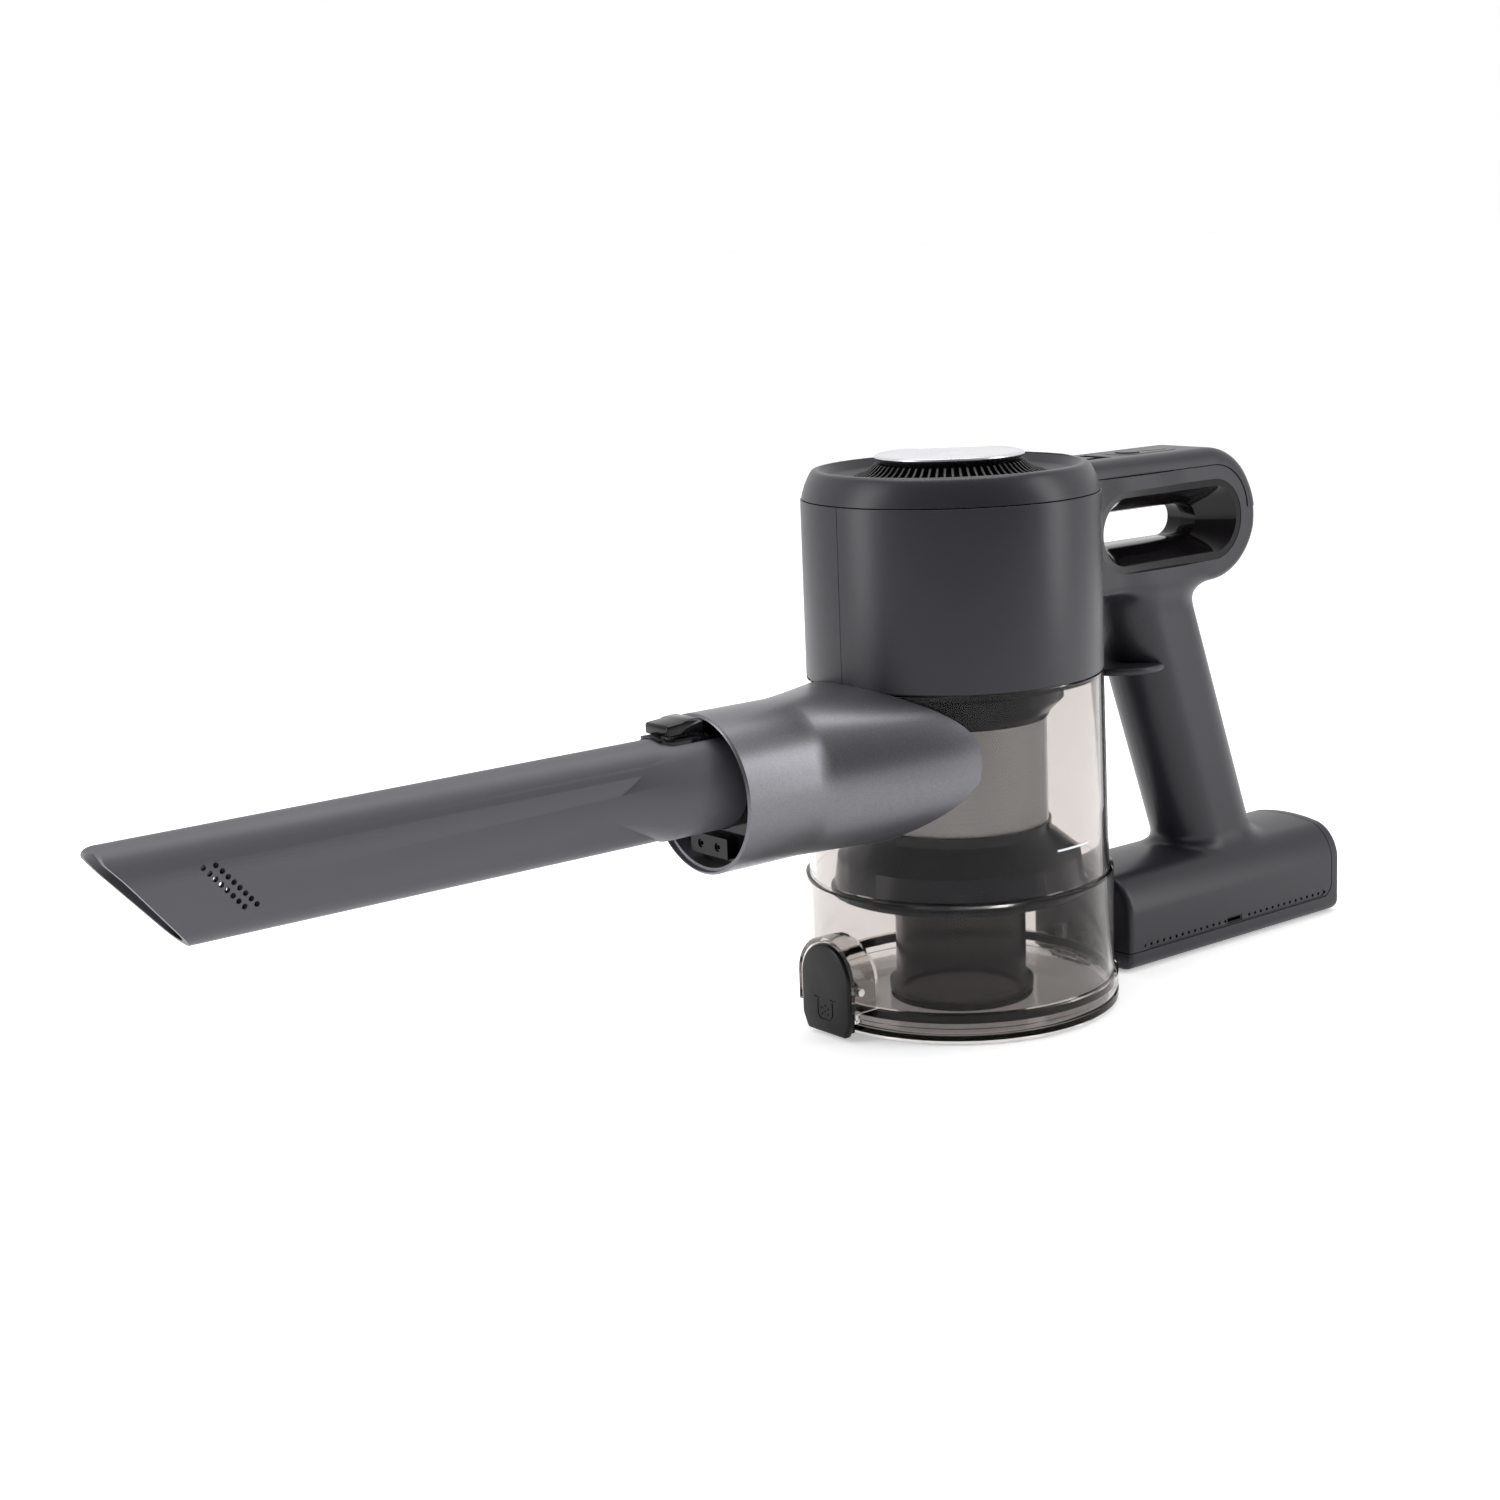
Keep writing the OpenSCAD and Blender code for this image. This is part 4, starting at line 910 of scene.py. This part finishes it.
def build_tool():
    """The crevice tool: hollow, with a slanted tip, bleed holes and a recess for its button."""
    back = TOOL_LOW[0]
    piece = tool_form("tool_shell", 0.0, back, COLLAR_FRONT - 6, TIP_X + 1)
    carve(piece, tool_form("tool_bore", TOOL_WALL, back - 2, FLAT_X - 0.3, TIP_X + 6))
    low, high = TOOL_Z - COLLAR_R, TOOL_Z + COLLAR_R
    tip = [(TIP_X - 3.2, high + 9), (TIP_X - 3.0, high)] + arc((TIP_X - 3.2, high - 3.6), 3.2, 60, -38, 6)
    tip += [(TIP_X - 30, low - 1), (TIP_X + 20, low - 1), (TIP_X + 20, high + 9)]
    carve(piece, slab("tip_cut", tip, -40, 40))
    for row in (0, 1):
        drill = slab("drill", arc((TIP_X - 31.5 - row * 4.4, TOOL_Z + 8.2), 1.0, 0, 345, 23), -20, 20)
        carve(piece, repeated("drills", drill, 8, (-2.08, 0, -2.3), "tool", False))
    x0, x1, half = BUTTON_LOW[0], BUTTON_HIGH[0], BUTTON_HIGH[1]
    pocket = box_outline((x0 - 0.3, -half - 0.3), (x1 + 0.3, half + 0.3))
    carve(piece, plate("button_pocket", pocket, high - 1.3, high + 9))
    return finish_mesh(piece, "tool")


def build_button():
    """Release button: a gloss block with a domed back, in a saddle that follows the collar."""
    x0, x1, half = BUTTON_LOW[0], BUTTON_HIGH[0], BUTTON_HIGH[1]
    low, high = BUTTON_LOW[2], BUTTON_HIGH[2]
    side = [(x0, low), (x1, low), (x1, high - 1.5), (x1 - 1.0, high - 1.1), (x0 + 10.0, high - 0.7)]
    side += [(x0 + 8.4, high - 0.2), (x0 + 5.5, high), (x0 + 3.0, high), (x0 + 1.0, high - 0.5), (x0, high - 1.6)]
    key = slab("release_button", side, -half, half, "gloss_black", 0.9)
    ring = round_x("saddle", [(MOUTH_X - 10, COLLAR_R + 1.1), (x1 + 2.4, COLLAR_R + 1.1), (x1 + 3, COLLAR_R + 0.5)],
                   about_z=TOOL_Z)
    inner = round_x("saddle_in", [(MOUTH_X - 12, COLLAR_R + 0.05), (x1 + 6, COLLAR_R + 0.05)], about_z=TOOL_Z)
    lobe = eased([(MOUTH_X - 12, -9), (x1 + 3.2, -9), (x1 + 3.2, 9), (MOUTH_X - 12, 9)], [0, 6, 6, 0], 8)
    carve(ring, inner)
    carve(ring, plate("saddle_keep", lobe, TOOL_Z, TOOL_Z + 40), operation="INTERSECT")
    gap = plate("saddle_gap", box_outline((x0 - 0.3, -half - 0.3), (x1 + 0.3, half + 0.3), 1.2), TOOL_Z, TOOL_Z + 40)
    return key, finish_mesh(carve(ring, gap), "gloss_black")


# ---- cup, cyclone and latch

def build_screen():
    """Cyclone screen: two layers of crossing wires over a pale drum."""
    low, high, r = SCREEN_LOW[2], SCREEN_HIGH[2], SCREEN_HIGH[0]
    count, bend, steps = sizes().strands, 0.62, 9
    layers = []
    for way in (1, -1):
        rings = []
        for k in range(steps + 1):
            turn = way * bend * k / steps
            height, out = low + (high - low) * k / steps, r - 0.32 + 0.06 * way
            side = 0.17
            corner = [(out + side, 0), (out, side), (out - side, 0), (out, -side)]
            rings.append([(a * math.cos(turn) - b * math.sin(turn), a * math.sin(turn) + b * math.cos(turn), height)
                          for a, b in corner])
        wire = lofted("wire", rings)
        layers.append(repeated("wires", wire, count, (0, 0, 2 * math.pi / count), "steel", True))
    drum = turned("drum", [(r - 0.8, low), (r - 0.5, low), (r - 0.5, high), (r - 0.8, high)])
    return joined("screen", layers + [drum], "steel")


def build_lever():
    """Latch lever: an arched pad with a chamfered foot, a sunk bin mark, and its knuckles behind."""
    low, high, back, front = LEVER_LOW[2], LEVER_HIGH[2], LEVER_LOW[0], LEVER_HIGH[0]
    half = LEVER_HIGH[1]
    top = arc((0, high - half), half - 0.1, 0, 180, 28)
    outline = top + [(-half + 0.1, low + 6.6), (-11.2, low + 0.4), (11.2, low + 0.4), (half - 0.1, low + 6.6)]
    pad = bar("latch_pad", outline, front - 3.5, front, None, 1.1)
    lines = [box_outline((-4.6, 8.6), (-4.0, 14.4)), box_outline((4.0, 8.6), (4.6, 14.4)),
             box_outline((-6.2, 14.9), (-3.0, 15.5)), box_outline((3.0, 14.9), (6.2, 15.5)),
             [(-4.6, 8.6), (-3.2, 6.6), (3.2, 6.6), (4.6, 8.6), (3.9, 8.6), (2.9, 7.2), (-2.9, 7.2), (-3.9, 8.6)]]
    for line in lines:
        carve(pad, bar("mark", line, front - 0.3, front + 2))
    for y, z in ((0, 12.4), (-1.9, 11.2), (1.9, 11.2), (0, 10.0), (-1.6, 9.0), (1.6, 9.0)):
        carve(pad, round_x("dot", [(front - 0.3, 0.42), (front + 2, 0.42)], y, z, 12))
    parts = [pad]
    for side in (-8.5, 8.5):
        rings = [[(x, side + d, z) for x, z in arc((PIN_X, PIN_Z), 3.2, 0, 350, 35)] for d in (-2, 2)]
        knuckle = lofted("knuckle", rings)
        web = slab("web", box_outline((PIN_X, PIN_Z - 3), (front - 3, PIN_Z + 3)), side - 2, side + 2)
        carve(knuckle, web, operation="UNION")
        bore = lofted("bore", [[(x, y, z) for x, z in arc((PIN_X, PIN_Z), 1.55, 0, 350, 35)]
                               for y in (side - 4, side + 4)])
        parts.append(carve(knuckle, bore))
    parts.append(slab("hook", box_outline((back, 1.2), (front - 3, 4.6), 0.5), -8, 8))
    return joined("latch_pad_lever", parts, "satin_black")


# ---- studio

CAMERA_AT = (666.2, 714.3, 307.5)
CAMERA_TURN, CAMERA_DOWN, CAMERA_ROLL = (math.radians(a) for a in (141.85, 11.69, -2.35))
LENS = 59.52
DIM_SIDE, BRIGHT_SIDE = 0.10, 1.05    # the room's light from the front and from behind


def aim():
    """The camera's axes: right, up and back, turned, tipped and rolled."""
    back = Vector((math.sin(CAMERA_TURN) * math.cos(CAMERA_DOWN), -math.cos(CAMERA_TURN) * math.cos(CAMERA_DOWN),
                   math.sin(CAMERA_DOWN)))
    right = Vector((0, 0, 1)).cross(back).normalized()
    up = back.cross(right)
    c, s = math.cos(CAMERA_ROLL), math.sin(CAMERA_ROLL)
    axes = Matrix((c * right + s * up, c * up - s * right, back)).transposed().to_4x4()
    return Matrix.Translation([v * MM for v in CAMERA_AT]) @ axes


def softbox(name, at, towards, width, height, power):
    """A rectangular soft light, in metres and watts."""
    data = bpy.data.lights.new(name, "AREA")
    data.shape = "RECTANGLE"
    data.size, data.size_y, data.energy = width, height, power
    light = bpy.data.objects.new(name, data)
    light.location = at
    light.rotation_euler = (Vector(towards) - Vector(at)).to_track_quat("-Z", "Y").to_euler()
    bpy.context.scene.collection.objects.link(light)


def studio_world():
    """A white room that is bright behind the object and at its sides, and dim in front of it."""
    world = bpy.data.worlds.new("studio")
    world.use_nodes = True
    tree = world.node_tree
    add, link = tree.nodes.new, tree.links.new
    sky = tree.nodes["Background"]
    sky.inputs["Color"].default_value = (1, 1, 1, 1)
    away = add("ShaderNodeVectorMath")
    away.operation = "DOT_PRODUCT"
    away.inputs[1].default_value = (-CAMERA_AT[0] / 977, -CAMERA_AT[1] / 977, 0.10)
    link(add("ShaderNodeTexCoord").outputs["Generated"], away.inputs[0])
    fade = add("ShaderNodeMapRange")
    fade.interpolation_type = "SMOOTHSTEP"
    for label, value in (("From Min", -0.75), ("From Max", 0.55), ("To Min", DIM_SIDE), ("To Max", BRIGHT_SIDE)):
        fade.inputs[label].default_value = value
    link(away.outputs["Value"], fade.inputs["Value"])
    seen = add("ShaderNodeMix")
    seen.inputs["B"].default_value = 1.0
    link(fade.outputs["Result"], seen.inputs["A"])
    link(add("ShaderNodeLightPath").outputs["Is Camera Ray"], seen.inputs["Factor"])
    link(seen.outputs["Result"], sky.inputs["Strength"])
    return world


def build_studio():
    """Pale floor, soft lights and the camera."""
    scene = bpy.context.scene
    floor_mesh = bpy.data.meshes.new("floor")
    reach, down = 60.0, -0.0004
    corners = [(x * reach, y * reach, down) for x, y in ((-1, -1), (1, -1), (1, 1), (-1, 1))]
    floor_mesh.from_pydata(corners, [], [(0, 1, 2, 3)])
    floor = bpy.data.objects.new("floor", floor_mesh)
    scene.collection.objects.link(floor)
    m, tree, shader, place = new_material("floor_white")
    shader.inputs["Roughness"].default_value = 0.7
    shader.inputs["Specular IOR Level"].default_value = 0.15
    shader.inputs["Emission Color"].default_value = (1, 1, 1, 1)
    shader.inputs["Emission Strength"].default_value = 0.38
    tint(tree, shader, noise(tree, place, 3.0), (0.90, 0.90, 0.905), (0.92, 0.92, 0.925))
    floor_mesh.materials.append(m)
    scene.world = studio_world()
    scene.view_settings.view_transform = "Standard"
    middle = (0.05, 0.0, 0.11)
    softbox("top_light", (-0.1, -0.2, 1.5), middle, 1.2, 0.9, 14)
    softbox("left_strip", (1.05, -0.45, 0.5), middle, 0.3, 1.1, 8)
    softbox("right_strip", (-0.75, 0.85, 0.5), middle, 0.3, 1.1, 6)
    data = bpy.data.cameras.new("camera")
    data.lens, data.sensor_width = LENS, 36.0
    data.clip_start, data.clip_end = 0.01, 50.0
    camera = bpy.data.objects.new("camera", data)
    camera.matrix_world = aim()
    scene.collection.objects.link(camera)
    scene.camera = camera


# ---- operators and panel

def placed(piece, body, slot, *nodes):
    """The piece rides on its body and stands for its nodes; slot is not used."""
    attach(piece, body)
    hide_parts(*nodes)


class VACUUM_OT_finishes(bpy.types.Operator):
    """Mix every finish and lay it on the frame's own nodes"""
    bl_idname = "vacuum.finishes"
    bl_label = "Finishes"

    def execute(self, context):
        mix_finishes()
        slots = {part["node"]: part["material_slot"] for part in frame["record"]["subparts"]}
        for name, node in frame["nodes"].items():
            for slot in node.material_slots:
                slot.material = materials[slots[name]]
        return {"FINISHED"}


class VACUUM_OT_top(bpy.types.Operator):
    """Build the top cover, the motor housing, the exhaust fins and the disc"""
    bl_idname = "vacuum.top"
    bl_label = "Top cover and housing"

    def execute(self, context):
        placed(build_cover(), "root", "casing", "top_cover")
        placed(build_housing(), "root", "casing", "motor_housing")
        placed(build_grille(), "exhaust_cap", "satin_black", "exhaust_grille")
        placed(build_disc(), "exhaust_cap", "disc_silver", "vent_disc")
        return {"FINISHED"}


class VACUUM_OT_handle(bpy.types.Operator):
    """Build the arm and grip, the hole's liner and the finger guard"""
    bl_idname = "vacuum.handle"
    bl_label = "Handle"

    def execute(self, context):
        left, right = build_handle()
        placed(left, "root", "casing", "handle_left", "grip_left")
        placed(right, "root", "casing", "handle_right", "grip_right")
        placed(build_liner(), "root", "gloss_black", "loop_liner")
        placed(build_guard(), "root", "casing", "finger_guard")
        return {"FINISHED"}


class VACUUM_OT_battery(bpy.types.Operator):
    """Build the battery's housing and its tray"""
    bl_idname = "vacuum.battery"
    bl_label = "Battery"

    def execute(self, context):
        shell, tray = build_battery()
        placed(shell, "root", "casing", "battery_housing")
        placed(tray, "battery_pack", "casing", "battery_tray")
        return {"FINISHED"}


class VACUUM_OT_nozzle(bpy.types.Operator):
    """Build the inlet duct, the crevice tool and its button"""
    bl_idname = "vacuum.nozzle"
    bl_label = "Duct and crevice tool"

    def execute(self, context):
        placed(build_duct(), "root", "pewter", "inlet_duct")
        placed(build_tool(), "tool", "tool", "crevice_tool")
        key, saddle = build_button()
        placed(key, "tool_key", "gloss_black", "tool_button")
        placed(saddle, "tool", "gloss_black", "button_base")
        return {"FINISHED"}


class VACUUM_OT_cup(bpy.types.Operator):
    """Build the cyclone's screen and the lid's latch"""
    bl_idname = "vacuum.cup"
    bl_label = "Cup and latch"

    def execute(self, context):
        placed(build_screen(), "root", "steel", "mesh_screen")
        placed(build_lever(), "latch", "satin_black", "latch_lever")
        return {"FINISHED"}


class VACUUM_OT_studio(bpy.types.Operator):
    """Set up the floor, the lights and the camera"""
    bl_idname = "vacuum.studio"
    bl_label = "Studio"

    def execute(self, context):
        build_studio()
        return {"FINISHED"}


STEPS = (VACUUM_OT_studio, VACUUM_OT_finishes, VACUUM_OT_top, VACUUM_OT_handle, VACUUM_OT_battery, VACUUM_OT_nozzle,
         VACUUM_OT_cup)


class VACUUM_PT_panel(bpy.types.Panel):
    """The sizes, colours and building steps of the vacuum"""
    bl_label = "Handheld Vacuum"
    bl_idname = "VACUUM_PT_panel"
    bl_space_type = "VIEW_3D"
    bl_region_type = "UI"
    bl_category = "Vacuum"

    def draw(self, context):
        for group in (context.scene.vacuum_sizes, context.scene.vacuum_finishes):
            for key in group.__annotations__:
                self.layout.prop(group, key)
        for step in STEPS:
            self.layout.operator(step.bl_idname)


CLASSES = (VacuumFinishes, VacuumSizes, *STEPS, VACUUM_PT_panel)


def register():
    for cls in CLASSES:
        bpy.utils.register_class(cls)
    bpy.types.Scene.vacuum_sizes = PointerProperty(type=VacuumSizes)
    bpy.types.Scene.vacuum_finishes = PointerProperty(type=VacuumFinishes)


def unregister():
    del bpy.types.Scene.vacuum_finishes
    del bpy.types.Scene.vacuum_sizes
    for cls in reversed(CLASSES):
        bpy.utils.unregister_class(cls)


def main():
    register()
    bpy.ops.vacuum.studio()
    bpy.ops.vacuum.finishes()
    bpy.ops.vacuum.top()
    bpy.ops.vacuum.handle()
    bpy.ops.vacuum.battery()
    bpy.ops.vacuum.nozzle()
    bpy.ops.vacuum.cup()


if __name__ == "__main__":
    main()
